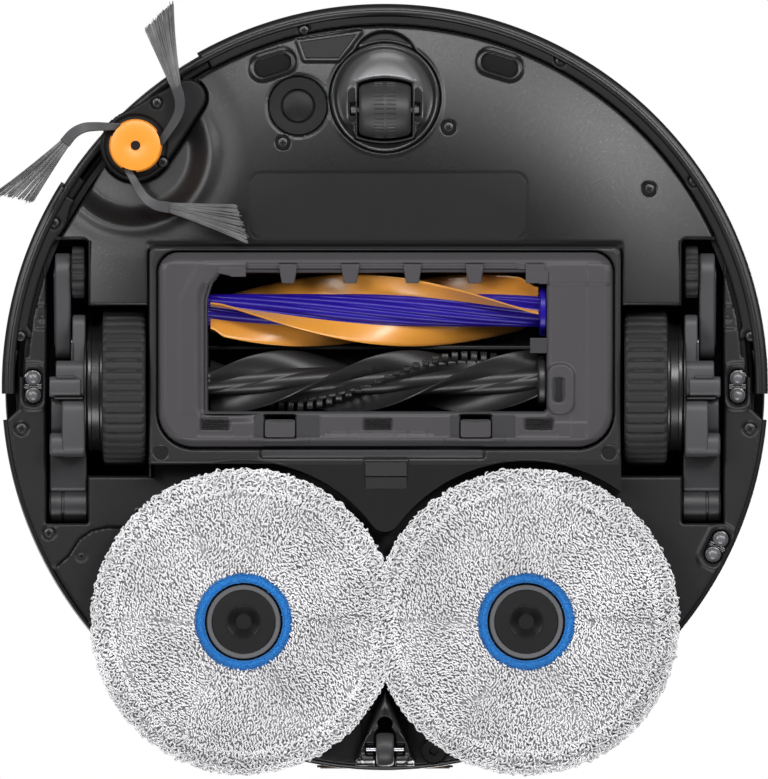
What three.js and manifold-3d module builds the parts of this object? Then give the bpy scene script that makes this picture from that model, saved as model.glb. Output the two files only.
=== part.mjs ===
// A round robot vacuum cleaner with two spinning mop pads, a pair of brush rollers, an extending side brush,
// sprung drive wheels with climbing legs, and a laser turret that rises out of the top.
// Millimetres. +Z is up, +Y is the front, +X is the robot's right. The origin is on the floor, under the
// centre of the round body.

import * as THREE from "three";
import { mergeVertices } from "three/addons/utils/BufferGeometryUtils.js";
import Module from "manifold-3d";

const wasm = await Module();
wasm.setup();

// ---- Driving dimensions ----

const GAP = 0.3; // clearance between pieces that rest on each other
const BODY_R = 175; // outer radius of the robot
const BELLY_Z = 9; // ground clearance of the flat belly
const SHELL = 3; // wall of the moulded shells
const DECK_Z = 22.5; // underside of the raised rear deck, and lower edge of the side wall
const WALL_TOP_Z = 79.6; // upper edge of the side wall
const TOP_Z = 89; // top surface

const DOME_R = 164.5; // the front cover's outer edge
const DOME_FLAT_R = 98; // inside this radius the cover is flat
const DOME_RISE = 10.5; // how far the cover has risen at its outer edge

const WALL_R = 172.1; // outer radius of the bumper's wall, under its rubber strip
const BUMPER_TRAVEL = 3;
const FLANGE_R = 165; // inner radius of the bumper's lower flange

const AXLE_Z = 36; // drive wheel axle height, and tyre radius
const TYRE_X = [108.6, 129.1];
const RIM_R = 30;
const MODULE_PIVOT = { y: -54, z: 33.5 }; // suspension pivot of a drive wheel
const LEG_PIVOT = { y: 20, z: 33 }; // climbing leg's pivot on the gearbox
const LEG_WHEEL = { y: 52.5, z: 27, r: 12 };

const BAY = { x: 107.5, front: 64, back: -31.5 }; // brush housing's outline
const ROLLER = {
  front: { y: 35, z: 17.8, core: 7.4, fins: 16.3 },
  rear: { y: 2.5, z: 16.6, core: 6.3, fins: 14.6 },
};
const COVER_Z = [4.8, 10]; // underside and top of the brush cover
const COVER = { x: 103.1, front: 61.2, back: -27.7 };
const MOUTH = { left: -74.4, right: 80.8, back: -11.1, front: 52.5 };
const LATCH = { width: 15, back: -23, front: -14.6, travel: 1.8 };
const LATCH_X = [47.8, -41.3]; // right and left latch centres

const CASTER = { y: 131.9, r: 22.4, collar: 24.8 };
const CASTER_WHEEL = { y: 126.3, r: 13, width: 17 };

const SIDE_BRUSH = { x: 113.6, y: 110 };
const SIDE_ARM_PIVOT = { x: 88.5, y: 133 };

const MOP = { x: 64.3, y: -106.8, pad: 63.9, hole: 17.2, plate: 56 };
const MOP_BAY_R = 73.2; // the trim's edge runs this far from each mop's centre
const MOP_ARM_PIVOT = { x: 125.5, y: -77 };
const MOP_SWING = 20; // degrees
const PAD_Z = 0.3; // the pads hang just clear of a hard floor

const REAR_WHEEL = { y: -165, z: 8.1, r: 7.6, width: 8 };
const TURRET = { y: -68, r: 38, lift: 20 };
const LID = { r: 160, back: -12, corner: 14 };
const BUTTON = { x: 14, y: -132, r: 8 };

const FINE = 60; // facets of the large circles
const MEDIUM = 24;
const SMALL = 12;

// ---- Solids from three.js geometry ----

const deg = THREE.MathUtils.degToRad;
const X_AXIS = new THREE.Vector3(1, 0, 0);
const Y_AXIS = new THREE.Vector3(0, 1, 0);
const Z_AXIS = new THREE.Vector3(0, 0, 1);

// A closed geometry as a manifold-3d solid, with its faces pointing out.
function solidOf(geometry) {
  const bare = new THREE.BufferGeometry();
  bare.setAttribute("position", geometry.getAttribute("position"));
  bare.setIndex(geometry.getIndex());
  const merged = mergeVertices(bare, 1e-4);
  const corners = merged.index.array;
  const kept = [];
  for (let i = 0; i < corners.length; i += 3) {
    const [a, b, c] = [corners[i], corners[i + 1], corners[i + 2]];
    if (a !== b && b !== c && c !== a) kept.push(a, b, c);
  }
  const make = (triangles) =>
    new wasm.Manifold(
      new wasm.Mesh({
        numProp: 3,
        vertProperties: merged.attributes.position.array,
        triVerts: new Uint32Array(triangles),
      }),
    );
  const solid = make(kept);
  return solid.volume() < 0 ? make(kept.reverse()) : solid;
}

function geometryOf(solid) {
  const mesh = solid.getMesh();
  const geometry = new THREE.BufferGeometry();
  geometry.setAttribute("position", new THREE.BufferAttribute(mesh.vertProperties, 3));
  geometry.setIndex(new THREE.BufferAttribute(mesh.triVerts, 1));
  geometry.computeVertexNormals();
  return geometry;
}

const join = (first, ...others) => others.reduce((whole, other) => whole.add(other), first);
const cut = (first, ...others) => others.reduce((whole, other) => whole.subtract(other), first);

// An outline as a plain polygon, without points that repeat where two arcs meet.
function outlineOf(shape, curveSegments) {
  const points = shape.getPoints(curveSegments);
  const distinct = points.filter((p, i) => p.distanceTo(points[(i + 1) % points.length]) > 1e-3);
  return new THREE.Shape(distinct);
}

// A flat outline pushed from z0 to z1.
function slab(shape, z0, z1, curveSegments = 12) {
  const outline = outlineOf(shape, curveSegments);
  const geometry = new THREE.ExtrudeGeometry(outline, { depth: z1 - z0, bevelEnabled: false });
  return solidOf(geometry.translate(0, 0, z0));
}

// An outline drawn in (y, z), pushed from x0 to x1.
function slabAlongX(shape, x0, x1, curveSegments = 12) {
  const outline = outlineOf(shape, curveSegments);
  const geometry = new THREE.ExtrudeGeometry(outline, { depth: x1 - x0, bevelEnabled: false });
  geometry.applyMatrix4(new THREE.Matrix4().makeBasis(Y_AXIS, Z_AXIS, X_AXIS));
  return solidOf(geometry.translate(x0, 0, 0));
}

function box(x0, x1, y0, y1, z0, z1) {
  const geometry = new THREE.BoxGeometry(x1 - x0, y1 - y0, z1 - z0);
  return solidOf(geometry.translate((x0 + x1) / 2, (y0 + y1) / 2, (z0 + z1) / 2));
}

function postZ(x, y, r, z0, z1, facets = SMALL) {
  const geometry = new THREE.CylinderGeometry(r, r, z1 - z0, facets).rotateX(Math.PI / 2);
  return solidOf(geometry.translate(x, y, (z0 + z1) / 2));
}

function postX(y, z, r, x0, x1, facets = SMALL) {
  const geometry = new THREE.CylinderGeometry(r, r, x1 - x0, facets).rotateZ(Math.PI / 2);
  return solidOf(geometry.translate((x0 + x1) / 2, y, z));
}

// A profile of [radius, z] points turned about a vertical axis at (x, y).
function turned(profile, facets = FINE, x = 0, y = 0) {
  const points = profile.map(([r, z]) => new THREE.Vector2(r, z));
  if (profile[0][0] > 0) points.push(points[0].clone());
  const geometry = new THREE.LatheGeometry(points, facets).rotateX(Math.PI / 2);
  return solidOf(geometry.translate(x, y, 0));
}

function circle(x, y, r) {
  const shape = new THREE.Shape();
  shape.absarc(x, y, r, 0, 2 * Math.PI);
  return shape;
}

function polygon(points) {
  return new THREE.Shape(points.map(([x, y]) => new THREE.Vector2(x, y)));
}

function roundedRect(x0, x1, y0, y1, r) {
  const shape = new THREE.Shape();
  shape.absarc(x1 - r, y1 - r, r, 0, Math.PI / 2);
  shape.absarc(x0 + r, y1 - r, r, Math.PI / 2, Math.PI);
  shape.absarc(x0 + r, y0 + r, r, Math.PI, 1.5 * Math.PI);
  shape.absarc(x1 - r, y0 + r, r, 1.5 * Math.PI, 2 * Math.PI);
  return shape;
}

// A slot with round ends: length overall, centred on (x, y), turned by an angle in degrees.
function slotShape(x, y, length, width, angle) {
  const half = (length - width) / 2;
  const along = deg(angle);
  const [dx, dy] = [half * Math.cos(along), half * Math.sin(along)];
  const shape = new THREE.Shape();
  shape.absarc(x + dx, y + dy, width / 2, along - Math.PI / 2, along + Math.PI / 2);
  shape.absarc(x - dx, y - dy, width / 2, along + Math.PI / 2, along + 1.5 * Math.PI);
  return shape;
}

// The outline round two circles and the tangents between them.
function linkShape(a, b) {
  const length = Math.hypot(b.x - a.x, b.y - a.y);
  const heading = Math.atan2(b.y - a.y, b.x - a.x);
  const lean = Math.acos((a.r - b.r) / length);
  const shape = new THREE.Shape();
  shape.absarc(a.x, a.y, a.r, heading + lean, heading - lean + 2 * Math.PI);
  shape.absarc(b.x, b.y, b.r, heading - lean, heading + lean);
  return shape;
}

// Part of a ring between two angles in degrees.
function ringSector(r0, r1, from, to) {
  const shape = new THREE.Shape();
  shape.absarc(0, 0, r1, deg(from), deg(to));
  shape.absarc(0, 0, r0, deg(to), deg(from), true);
  return shape;
}

const arcFacets = (degrees) => Math.max(2, Math.round((FINE * degrees) / 360));

function ringWall(r0, r1, from, to, z0, z1) {
  return slab(ringSector(r0, r1, from, to), z0, z1, arcFacets(to - from));
}

// ---- Materials ----

const finish = (color, roughness, metalness = 0) =>
  new THREE.MeshStandardMaterial({ color, roughness, metalness });
const material = {
  cover: finish(0x1d1d1f, 0.55),
  deck: finish(0x232324, 0.6),
  wall: finish(0x1b1b1c, 0.45),
  strip: finish(0x333335, 0.7),
  grey: finish(0x5a595b, 0.55),
  tyre: finish(0x2c2c2c, 0.8),
  rim: finish(0x202021, 0.35),
  orange: finish(0xf2a533, 0.4),
  purple: finish(0x3a1fa8, 0.4),
  rubber: finish(0x1a1a1a, 0.5),
  bristle: finish(0x6a6a6a, 0.7),
  pile: finish(0xd2d2d2, 0.95),
  hub: finish(0x262626, 0.4),
  lens: finish(0xb8b8b8, 0.15, 0.4),
  steel: finish(0xb9babd, 0.3, 1),
  copper: finish(0xc9a46a, 0.3, 1),
  board: finish(0x1f5a38, 0.6),
  smoke: finish(0x2f3235, 0.25),
};

const robot = new THREE.Group();

function add(parent, name, look, solid) {
  const mesh = new THREE.Mesh(geometryOf(solid), material[look]);
  mesh.name = name;
  parent.add(mesh);
  return mesh;
}

// ---- Body shells ----

const DOME_RADII = [DOME_FLAT_R, 120, 143, DOME_R];

// Height of the front cover's underside at a radius from the body's centre.
function domeHeight(r) {
  const share = Math.max(0, (r - DOME_FLAT_R) / (DOME_R - DOME_FLAT_R));
  return BELLY_Z + DOME_RISE * share ** 1.8;
}

// The front cover's underside, filled up to a height.
function domeBlock(top) {
  const curve = DOME_RADII.map((r) => [r, domeHeight(r)]);
  return turned([[0, BELLY_Z], ...curve, [DOME_R, top], [0, top]]);
}

function domeShell() {
  const curve = DOME_RADII.map((r) => [r, domeHeight(r)]);
  const rim = BELLY_Z + DOME_RISE;
  return turned([
    [0, BELLY_Z],
    ...curve,
    [DOME_R, rim + SHELL],
    [DOME_FLAT_R, BELLY_Z + SHELL],
    [0, BELLY_Z + SHELL],
  ]);
}

// The hollow that the side brush turns in, grown by a wall.
function sideBrushDish(wall) {
  return turned(
    [
      [0, -10],
      [48 + wall, -10],
      [48 + wall, BELLY_Z - 0.1 + wall],
      [34, 12.6 + wall],
      [20, 18 + wall],
      [0, 18 + wall],
    ],
    MEDIUM,
    SIDE_BRUSH.x,
    SIDE_BRUSH.y,
  );
}

const CLIFF_SLOT = { x: 51.3, y: 146.8, length: 21.8, width: 9.6, angle: 19.2 };
const CARPET_SENSOR = { x: 39.6, y: 128.1, r: 13.2 };
const DOCK_WINDOW = [
  [40.7, 157.4],
  [11, 161.4],
  [22, 149.5],
  [36.8, 149.4],
];

function bottomCover() {
  const wellFront = 37.3; // front edge of the drive wheel wells
  const legFront = 68; // front edge of the leg wells
  const legInner = 134.9;
  const brushBay = polygon([
    [147.4, 66],
    [127, 102],
    [98, 127],
    [87, 141],
    [110, 170],
    [180, 120],
    [180, 66],
  ]);
  const through = [-20, 90];
  const shell = join(domeShell(), domeBlock(40).intersect(sideBrushDish(SHELL)));
  const collar = domeBlock(24).intersect(postZ(0, CASTER.y, CASTER.collar + 2.4, 0, 24, MEDIUM));
  return cut(
    join(shell, collar),
    sideBrushDish(0),
    box(-200, 200, -200, wellFront, ...through),
    box(-BAY.x - GAP, BAY.x + GAP, -200, BAY.front + GAP, ...through),
    box(legInner, 200, -200, legFront, ...through),
    box(-200, -legInner, -200, legFront, ...through),
    slab(brushBay, ...through),
    slab(linkShape({ ...SIDE_ARM_PIVOT, r: 9.5 }, { ...SIDE_BRUSH, r: 17 }), ...through, 10),
    postZ(0, CASTER.y, CASTER.collar, ...through, MEDIUM),
    postZ(CARPET_SENSOR.x, CARPET_SENSOR.y, CARPET_SENSOR.r + GAP, ...through, MEDIUM),
    ...[1, -1].map((side) =>
      slab(
        slotShape(side * CLIFF_SLOT.x, CLIFF_SLOT.y, CLIFF_SLOT.length, CLIFF_SLOT.width, -side * CLIFF_SLOT.angle),
        ...through,
        6,
      ),
    ),
    slab(polygon(DOCK_WINDOW), ...through),
  );
}

const DECK_R = 172;
const RAIL = { inner: 154.6, outer: 167, front: 14 };
const LEG_SLOT = { inner: 135.3, outer: 154.2, back: -62.4 };
const WELL_BACK = -41; // rear edge of the drive wheel wells
const LENS_SIDE = { x: 160.6, y: 0, angle: 90 };
const LENS_REAR = { x: -151.5, y: -72.9, angle: 116.6 };
const LENS_SLOT = { length: 15.4, width: 7.6 };

// Where a lens pair's slot lies, grown by a margin.
function lensSlot(at, margin) {
  return slotShape(at.x, at.y, LENS_SLOT.length + 2 * margin, LENS_SLOT.width + 2 * margin, at.angle);
}

function rearDeck() {
  const top = DECK_Z + SHELL;
  const reach = DECK_R + 5;
  const halves = [1, -1].map((side) => {
    const notch = polygon([
      [RAIL.outer, RAIL.front + 30],
      [RAIL.outer, -9.6],
      [DECK_R + 0.4, -14.9],
      [reach, -14.9],
      [reach, RAIL.front + 30],
    ]);
    const cutters = [
      slab(notch, 0, 60),
      box(107.2, RAIL.inner, WELL_BACK, 100, 0, 60),
      box(LEG_SLOT.inner, LEG_SLOT.outer, LEG_SLOT.back, WELL_BACK + 1, 0, 60),
      box(RAIL.inner, reach, RAIL.front, 100, 0, 60),
    ];
    return side > 0 ? cutters : cutters.map((c) => c.mirror([1, 0, 0]));
  });
  const sideRail = slab(ringSector(140, 163, 2, 22), DECK_Z, top, 6).intersect(box(RAIL.inner, 200, 0, 100, 0, 60));
  const ear = cut(
    box(131.2, 134.6, LEG_SLOT.back, -45, top - 1, MODULE_PIVOT.z + 10),
    postX(MODULE_PIVOT.y, MODULE_PIVOT.z, 4 + GAP, 120, 140),
  );
  const plate = slab(circle(0, 0, DECK_R), DECK_Z, top, FINE).intersect(box(-200, 200, -200, RAIL.front, 0, 60));
  const armPaths = [0, 0.25, 0.5, 0.75, 1].map((share) => share * MOP_SWING).map((angle) =>
    slab(linkShape({ ...MOP_ARM_PIVOT, r: 12.8 }, { ...swungMop(angle), r: 22.6 }), 0, top, 14),
  );
  const armSocket = postZ(MOP_ARM_PIVOT.x, MOP_ARM_PIVOT.y, 15, DECK_Z + 1, 31, 16);
  return cut(
    join(
      cut(plate, ...halves.flat(), box(-107.2, 107.2, BAY.back - GAP, 100, 0, 60)),
      sideRail,
      sideRail.mirror([1, 0, 0]),
      armSocket,
      ear,
      ear.mirror([1, 0, 0]),
    ),
    ...armPaths,
    postZ(-MOP.x, MOP.y, 8, 0, 60, SMALL),
    slab(lensSlot(LENS_SIDE, GAP), 0, 60, 6),
    slab(lensSlot({ ...LENS_SIDE, x: -LENS_SIDE.x }, GAP), 0, 60, 6),
    slab(lensSlot(LENS_REAR, GAP), 0, 60, 6),
    postZ(MOP_ARM_PIVOT.x, MOP_ARM_PIVOT.y, 4 + GAP, 0, 60),
  );
}

// Where the right mop's centre is once its arm has turned outwards by an angle in degrees.
function swungMop(angle) {
  const [dx, dy] = [MOP.x - MOP_ARM_PIVOT.x, MOP.y - MOP_ARM_PIVOT.y];
  const [c, s] = [Math.cos(deg(angle)), Math.sin(deg(angle))];
  return { x: MOP_ARM_PIVOT.x + dx * c - dy * s, y: MOP_ARM_PIVOT.y + dx * s + dy * c };
}

const CONTACT = { x: 22, z: 36, width: 15, height: 7, face: -174.4 };

function rearSkirt() {
  const wall = ringWall(DECK_R + GAP, BODY_R, 184.8, 355.2, DECK_Z, WALL_TOP_Z);
  const pockets = [1, -1].map((side) => contactBlock(side, GAP));
  return cut(wall, ...pockets);
}

function contactBlock(side, margin) {
  const [x, half] = [side * CONTACT.x, CONTACT.width / 2 + margin];
  const [z, tall] = [CONTACT.z, CONTACT.height / 2 + margin];
  return box(x - half, x + half, CONTACT.face - margin, -168, z - tall, z + tall);
}

function chassisFrame() {
  const ring = ringWall(163, 165.5, -8, 188, 25.9, WALL_TOP_Z);
  const boss = postZ(SIDE_ARM_PIVOT.x, SIDE_ARM_PIVOT.y, 6.5, 25.9, 36);
  return cut(join(ring, boss), postZ(SIDE_ARM_PIVOT.x, SIDE_ARM_PIVOT.y, 3 + GAP, 20, 34));
}

// The lid's outline: a disc cut off at the back, with round corners, grown by a margin.
function lidShape(margin) {
  const r = LID.r + margin;
  const back = LID.back - margin;
  const corner = LID.corner;
  const centre = { x: Math.sqrt((r - corner) ** 2 - (back + corner) ** 2), y: back + corner };
  const turn = Math.atan2(centre.y, centre.x);
  const shape = new THREE.Shape();
  shape.absarc(0, 0, r, turn, Math.PI - turn);
  shape.absarc(-centre.x, centre.y, corner, Math.PI - turn, 1.5 * Math.PI);
  shape.absarc(centre.x, centre.y, corner, 1.5 * Math.PI, 2 * Math.PI + turn);
  return shape;
}

const DUST_BOX = { x: 74, back: -4, front: 72, bottom: 45, top: 82.6 };

function topCover() {
  const plate = turned([
    [0, 83],
    [170.5, 83],
    [174.6, WALL_TOP_Z + GAP],
    [174.6, 86],
    [171, TOP_Z],
    [0, TOP_Z],
  ]);
  return cut(
    plate,
    slab(lidShape(0.5), TOP_Z - 3, 100, 16),
    slab(roundedRect(-DUST_BOX.x - 1, DUST_BOX.x + 1, DUST_BOX.back - 1, DUST_BOX.front + 1, 8), 60, 100, 4),
    postZ(0, TURRET.y, TURRET.r + 0.6, 60, 100, MEDIUM),
    ...[1, -1].map((side) => postZ(side * BUTTON.x, BUTTON.y, BUTTON.r + 0.4, 60, 100, 24)),
  );
}

// ---- Bumper ----

const BUMPER_BAY = [25, 62]; // degrees: the bumper has no flange over the side brush

function bumper() {
  const wall = ringWall(WALL_R - 3, WALL_R, -1, 181, 22, WALL_TOP_Z - 0.6);
  const flange = ([from, to]) => ringWall(FLANGE_R, WALL_R - 1, from, to, 23, 25);
  return join(wall, flange([6.5, BUMPER_BAY[0]]), flange([BUMPER_BAY[1], 173.5]));
}

function bumperStrip() {
  return ringWall(WALL_R + GAP, BODY_R + 0.2, 2, 178, 27, 42);
}

function bumperWindow() {
  return ringWall(WALL_R + GAP, WALL_R + 1.6, 66, 114, 50, 70);
}

// ---- Brush bay ----

function brushHousing() {
  const inner = { x: 104.8, front: 62.8, back: -29.2 };
  const leftEdge = Math.asin((BAY.x - MOP.x) / MOP_BAY_R);
  const fillet = 7;
  const rise = Math.sqrt((MOP_BAY_R + fillet) ** 2 - MOP.x ** 2);
  const meet = Math.atan2(rise, MOP.x);
  const flatY = -34.9; // the trim stops here on the side whose mop swings out
  const flat = Math.PI - Math.asin((flatY - MOP.y) / MOP_BAY_R);
  const trim = new THREE.Shape();
  trim.moveTo(BAY.x, BAY.back);
  trim.lineTo(-BAY.x, BAY.back);
  trim.absarc(-MOP.x, MOP.y, MOP_BAY_R, Math.PI / 2 + leftEdge, meet, true);
  trim.absarc(0, MOP.y + rise, fillet, Math.PI + meet, 2 * Math.PI - meet);
  trim.absarc(MOP.x, MOP.y, MOP_BAY_R, Math.PI - meet, flat, true);
  trim.lineTo(BAY.x, flatY);
  const tray = box(-BAY.x + 0.5, BAY.x - 0.5, BAY.back, BAY.front, BELLY_Z - 1, 43);
  const rollers = Object.values(ROLLER);
  const bearing = (x0, x1) =>
    cut(
      box(x0, x1, -13, 52, 12, 41),
      ...rollers.map(({ y, z }) => postX(y, z, 3 + GAP, x0 - 1, x1 + 1)),
    );
  return join(
    cut(tray, slab(roundedRect(-inner.x, inner.x, inner.back, inner.front, 10), 0, 40.5, 5)),
    slab(trim, BELLY_Z - 1, DECK_Z - GAP, 10),
    bearing(-105.5, -78),
    bearing(91, 105.5),
  );
}

function brushCover() {
  const frame = slab(roundedRect(-COVER.x, COVER.x, COVER.back, COVER.front, 12), ...COVER_Z, 6);
  const mouth = polygon([
    [MOUTH.left, MOUTH.back],
    [MOUTH.right, MOUTH.back],
    [MOUTH.right, 49.8],
    [78.8, MOUTH.front],
    [MOUTH.left, MOUTH.front],
  ]);
  const pockets = LATCH_X.map((x) => box(x - 8.7, x + 8.7, LATCH.back - 1.2, LATCH.front + LATCH.travel + 0.4, 0, 20));
  const tooth = polygon([
    [-4.2, 3.5],
    [4.2, 3.5],
    [3.2, -5.3],
    [-3.2, -5.3],
  ]);
  const teeth = [0, 1, 2, 3].map((i) => {
    const geometry = new THREE.ExtrudeGeometry(tooth, { depth: 1.8, bevelEnabled: false });
    return solidOf(geometry.translate(44.1 - 28.3 * i, MOUTH.front, COVER_Z[0] - 0.2));
  });
  return join(cut(frame, slab(mouth, 0, 20), ...pockets), ...teeth);
}

function coverLatch(x) {
  const half = LATCH.width / 2;
  return slab(roundedRect(x - half, x + half, LATCH.back, LATCH.front, 1.5), COVER_Z[0], COVER_Z[1] - 1, 3);
}

function rollerCore({ y, z, core }, disc) {
  return join(
    postX(y, z, core, -71, 89.5, 24),
    postX(y, z, disc, -73.9, -70.2, 24),
    postX(y, z, 3, -87, 103),
  );
}

// A sleeve with fins that wind round it, between x0 and x1.
function twistedFins({ y, z, core, fins }, count, turn, x0, x1) {
  const rings = 9;
  const inner = core + 0.7;
  const base = inner + 1.4;
  const perFin = [
    [base, 0],
    [base, 0.17],
    [base, 0.34],
    [fins, 0.5],
    [fins, 0.6],
    [base, 0.67],
    [base, 0.84],
  ];
  const count0 = perFin.length * count;
  const positions = [];
  const indices = [];
  for (let k = 0; k <= rings; k++) {
    const share = k / rings;
    const x = x0 + (x1 - x0) * share;
    for (let i = 0; i < count0; i++) {
      const [r, at] = perFin[i % perFin.length];
      const angle = ((Math.floor(i / perFin.length) + at) / count) * 2 * Math.PI + deg(turn) * share;
      positions.push(x, y + r * Math.cos(angle), z + r * Math.sin(angle));
    }
    for (let i = 0; i < count0; i++) {
      const angle = (i / count0) * 2 * Math.PI + deg(turn) * share;
      positions.push(x, y + inner * Math.cos(angle), z + inner * Math.sin(angle));
    }
  }
  const at = (k, i, isInner) => k * 2 * count0 + (isInner ? count0 : 0) + (i % count0);
  const quad = (a, b, c, d) => indices.push(a, b, c, a, c, d);
  for (let i = 0; i < count0; i++) {
    for (let k = 0; k < rings; k++) {
      quad(at(k, i, false), at(k, i + 1, false), at(k + 1, i + 1, false), at(k + 1, i, false));
      quad(at(k, i, true), at(k + 1, i, true), at(k + 1, i + 1, true), at(k, i + 1, true));
    }
    quad(at(0, i, false), at(0, i, true), at(0, i + 1, true), at(0, i + 1, false));
    quad(at(rings, i, false), at(rings, i + 1, false), at(rings, i + 1, true), at(rings, i, true));
  }
  const geometry = new THREE.BufferGeometry();
  geometry.setAttribute("position", new THREE.Float32BufferAttribute(positions, 3));
  geometry.setIndex(indices);
  return solidOf(geometry);
}

// ---- Drive wheel module, drawn for the right side ----

function ribbedShape(y, z, r, depth, ribs) {
  const points = [];
  for (let i = 0; i < ribs; i++) {
    for (const [offset, radius] of [
      [0, r],
      [0.55, r],
      [0.6, r - depth],
      [0.95, r - depth],
    ]) {
      const angle = ((i + offset) / ribs) * 2 * Math.PI;
      points.push([y + radius * Math.cos(angle), z + radius * Math.sin(angle)]);
    }
  }
  return polygon(points);
}

function wheelTyre() {
  const tread = slabAlongX(ribbedShape(0, AXLE_Z, AXLE_Z, 1.2, 32), ...TYRE_X);
  return cut(tread, postX(0, AXLE_Z, RIM_R + GAP, 100, 140, MEDIUM));
}

function wheelRim() {
  const drum = postX(0, AXLE_Z, RIM_R, TYRE_X[0] + 1, 135.8, MEDIUM);
  return cut(drum, postX(0, AXLE_Z, 4 + GAP, 100, 140));
}

function gearbox() {
  const upper = slabAlongX(roundedRect(-30, 33, 18, 60, 6), 136.6, 142.8, 4);
  const lower = slabAlongX(roundedRect(-32, 12, 9.5, 58, 7), 136.6, 153, 4);
  const armRear = box(137.2, 150.6, -58, -28, 27, 40);
  const barrel = postX(MODULE_PIVOT.y, MODULE_PIVOT.z, 8, 137.2, 150.6, 24);
  const shaft = postX(MODULE_PIVOT.y, MODULE_PIVOT.z, 4, 112, 138);
  const axle = postX(0, AXLE_Z, 4, 112, 138);
  const legPin = postX(LEG_PIVOT.y, LEG_PIVOT.z, 3, 142, 150.4);
  return join(upper, lower, armRear, barrel, shaft, axle, legPin);
}

function legArm() {
  const pivot = { x: LEG_PIVOT.y, y: LEG_PIVOT.z, r: 7 };
  const tip = { x: LEG_WHEEL.y, y: LEG_WHEEL.z, r: 8.6 };
  const bar = cut(
    slabAlongX(linkShape(pivot, tip), 143.4, 150, 8),
    postX(LEG_PIVOT.y, LEG_PIVOT.z, 3 + GAP, 140, 155),
  );
  return join(bar, postX(LEG_WHEEL.y, LEG_WHEEL.z, 2.5, 136.4, 144));
}

function legWheel() {
  const teeth = slabAlongX(ribbedShape(LEG_WHEEL.y, LEG_WHEEL.z, LEG_WHEEL.r, 1.2, 14), 136.9, 143.1);
  return cut(teeth, postX(LEG_WHEEL.y, LEG_WHEEL.z, 2.5 + GAP, 130, 150));
}

// The torsion spring that presses a drive wheel to the floor, wound round the suspension shaft.
class CoilCurve extends THREE.Curve {
  getPoint(t) {
    const turns = 4;
    const radius = 5.6;
    const angle = t * turns * 2 * Math.PI;
    return new THREE.Vector3(113 + 15 * t, radius * Math.cos(angle), radius * Math.sin(angle));
  }
}

function wheelSpring() {
  const wire = new THREE.Shape();
  wire.absarc(0, 0, 1, 0, 2 * Math.PI);
  const geometry = new THREE.ExtrudeGeometry(wire, { extrudePath: new CoilCurve(), steps: 44, curveSegments: 2 });
  return solidOf(geometry.translate(0, MODULE_PIVOT.y, MODULE_PIVOT.z));
}

function wheelModule(side) {
  const group = new THREE.Group();
  add(group, `${side}_gearbox`, "grey", gearbox());
  add(group, `${side}_wheel_rim`, "rim", wheelRim());
  add(group, `${side}_wheel_tyre`, "tyre", wheelTyre());
  add(group, `${side}_leg_arm`, "grey", legArm());
  add(group, `${side}_leg_wheel`, "tyre", legWheel());
  add(group, `${side}_wheel_spring`, "steel", wheelSpring());
  group.scale.x = side === "left" ? -1 : 1;
  return group;
}

// ---- Caster and rear support wheel ----

function casterDish() {
  const body = postZ(0, CASTER.y, CASTER.r, 9.6, 26, MEDIUM);
  const bowl = turned(
    [
      [0, 5],
      [21.2, 5],
      [21.2, 10.5],
      [17, 17],
      [9, 21],
      [0, 21.8],
    ],
    MEDIUM,
    0,
    CASTER.y,
  );
  const half = CASTER_WHEEL.width / 2 + 0.8;
  const cheeks = box(-half - 4.2, half + 4.2, 119.9, 131.9, 9, 22);
  return cut(
    join(cut(body, bowl), cheeks),
    box(-half, half, CASTER_WHEEL.y - 13.8, CASTER_WHEEL.y + 13.8, 0, 28.5),
    postX(CASTER_WHEEL.y, CASTER_WHEEL.r, 1.6 + GAP, -20, 20, 12),
  );
}

function casterWheel() {
  const half = CASTER_WHEEL.width / 2;
  const r = CASTER_WHEEL.r;
  const profile = [
    [0, -half],
    [r - 2.4, -half],
    [r - 0.7, -half * 0.6],
    [r, 0],
    [r - 0.7, half * 0.6],
    [r - 2.4, half],
    [0, half],
  ].map(([radius, along]) => new THREE.Vector2(radius, along));
  const barrel = new THREE.LatheGeometry(profile, 24).rotateZ(Math.PI / 2).translate(0, CASTER_WHEEL.y, r);
  return cut(solidOf(barrel), postX(CASTER_WHEEL.y, r, 1.6 + GAP, -20, 20, 12));
}

function rearWheelBracket() {
  const tower = polygon([
    [0, -137.2],
    [-13.2, -170.2],
    [13.2, -170.2],
  ]);
  const half = REAR_WHEEL.width / 2 + 0.7;
  return cut(
    slab(tower, 5.5, DECK_Z - GAP),
    box(-half, half, REAR_WHEEL.y - 9.5, REAR_WHEEL.y + 8.8, 0, 18.5),
    postX(REAR_WHEEL.y, REAR_WHEEL.z, 1.3 + GAP, -9.4, 9.4, 12),
    postZ(0, -153.4, 3.5, 0, 18.5),
  );
}

function rearWheel() {
  const { y, z, r, width } = REAR_WHEEL;
  return join(
    postX(y, z, r - 1, -width / 2, width / 2, 28),
    postX(y, z, r, -width / 2 + 1.2, width / 2 - 1.2, 28),
    postX(y, z, 1.3, -9, 9, 12),
  );
}

// ---- Side brush ----

const SWEEPER = { count: 3, start: 285.3 }; // degrees of the first arm's root

function sideBrushArm() {
  const pivot = { ...SIDE_ARM_PIVOT, r: 8.2 };
  const hub = { ...SIDE_BRUSH, r: 15.5 };
  return join(
    slab(linkShape(pivot, hub), 16.3, 20.3, 16),
    postZ(SIDE_ARM_PIVOT.x, SIDE_ARM_PIVOT.y, 3, 20, 33),
  );
}

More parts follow.
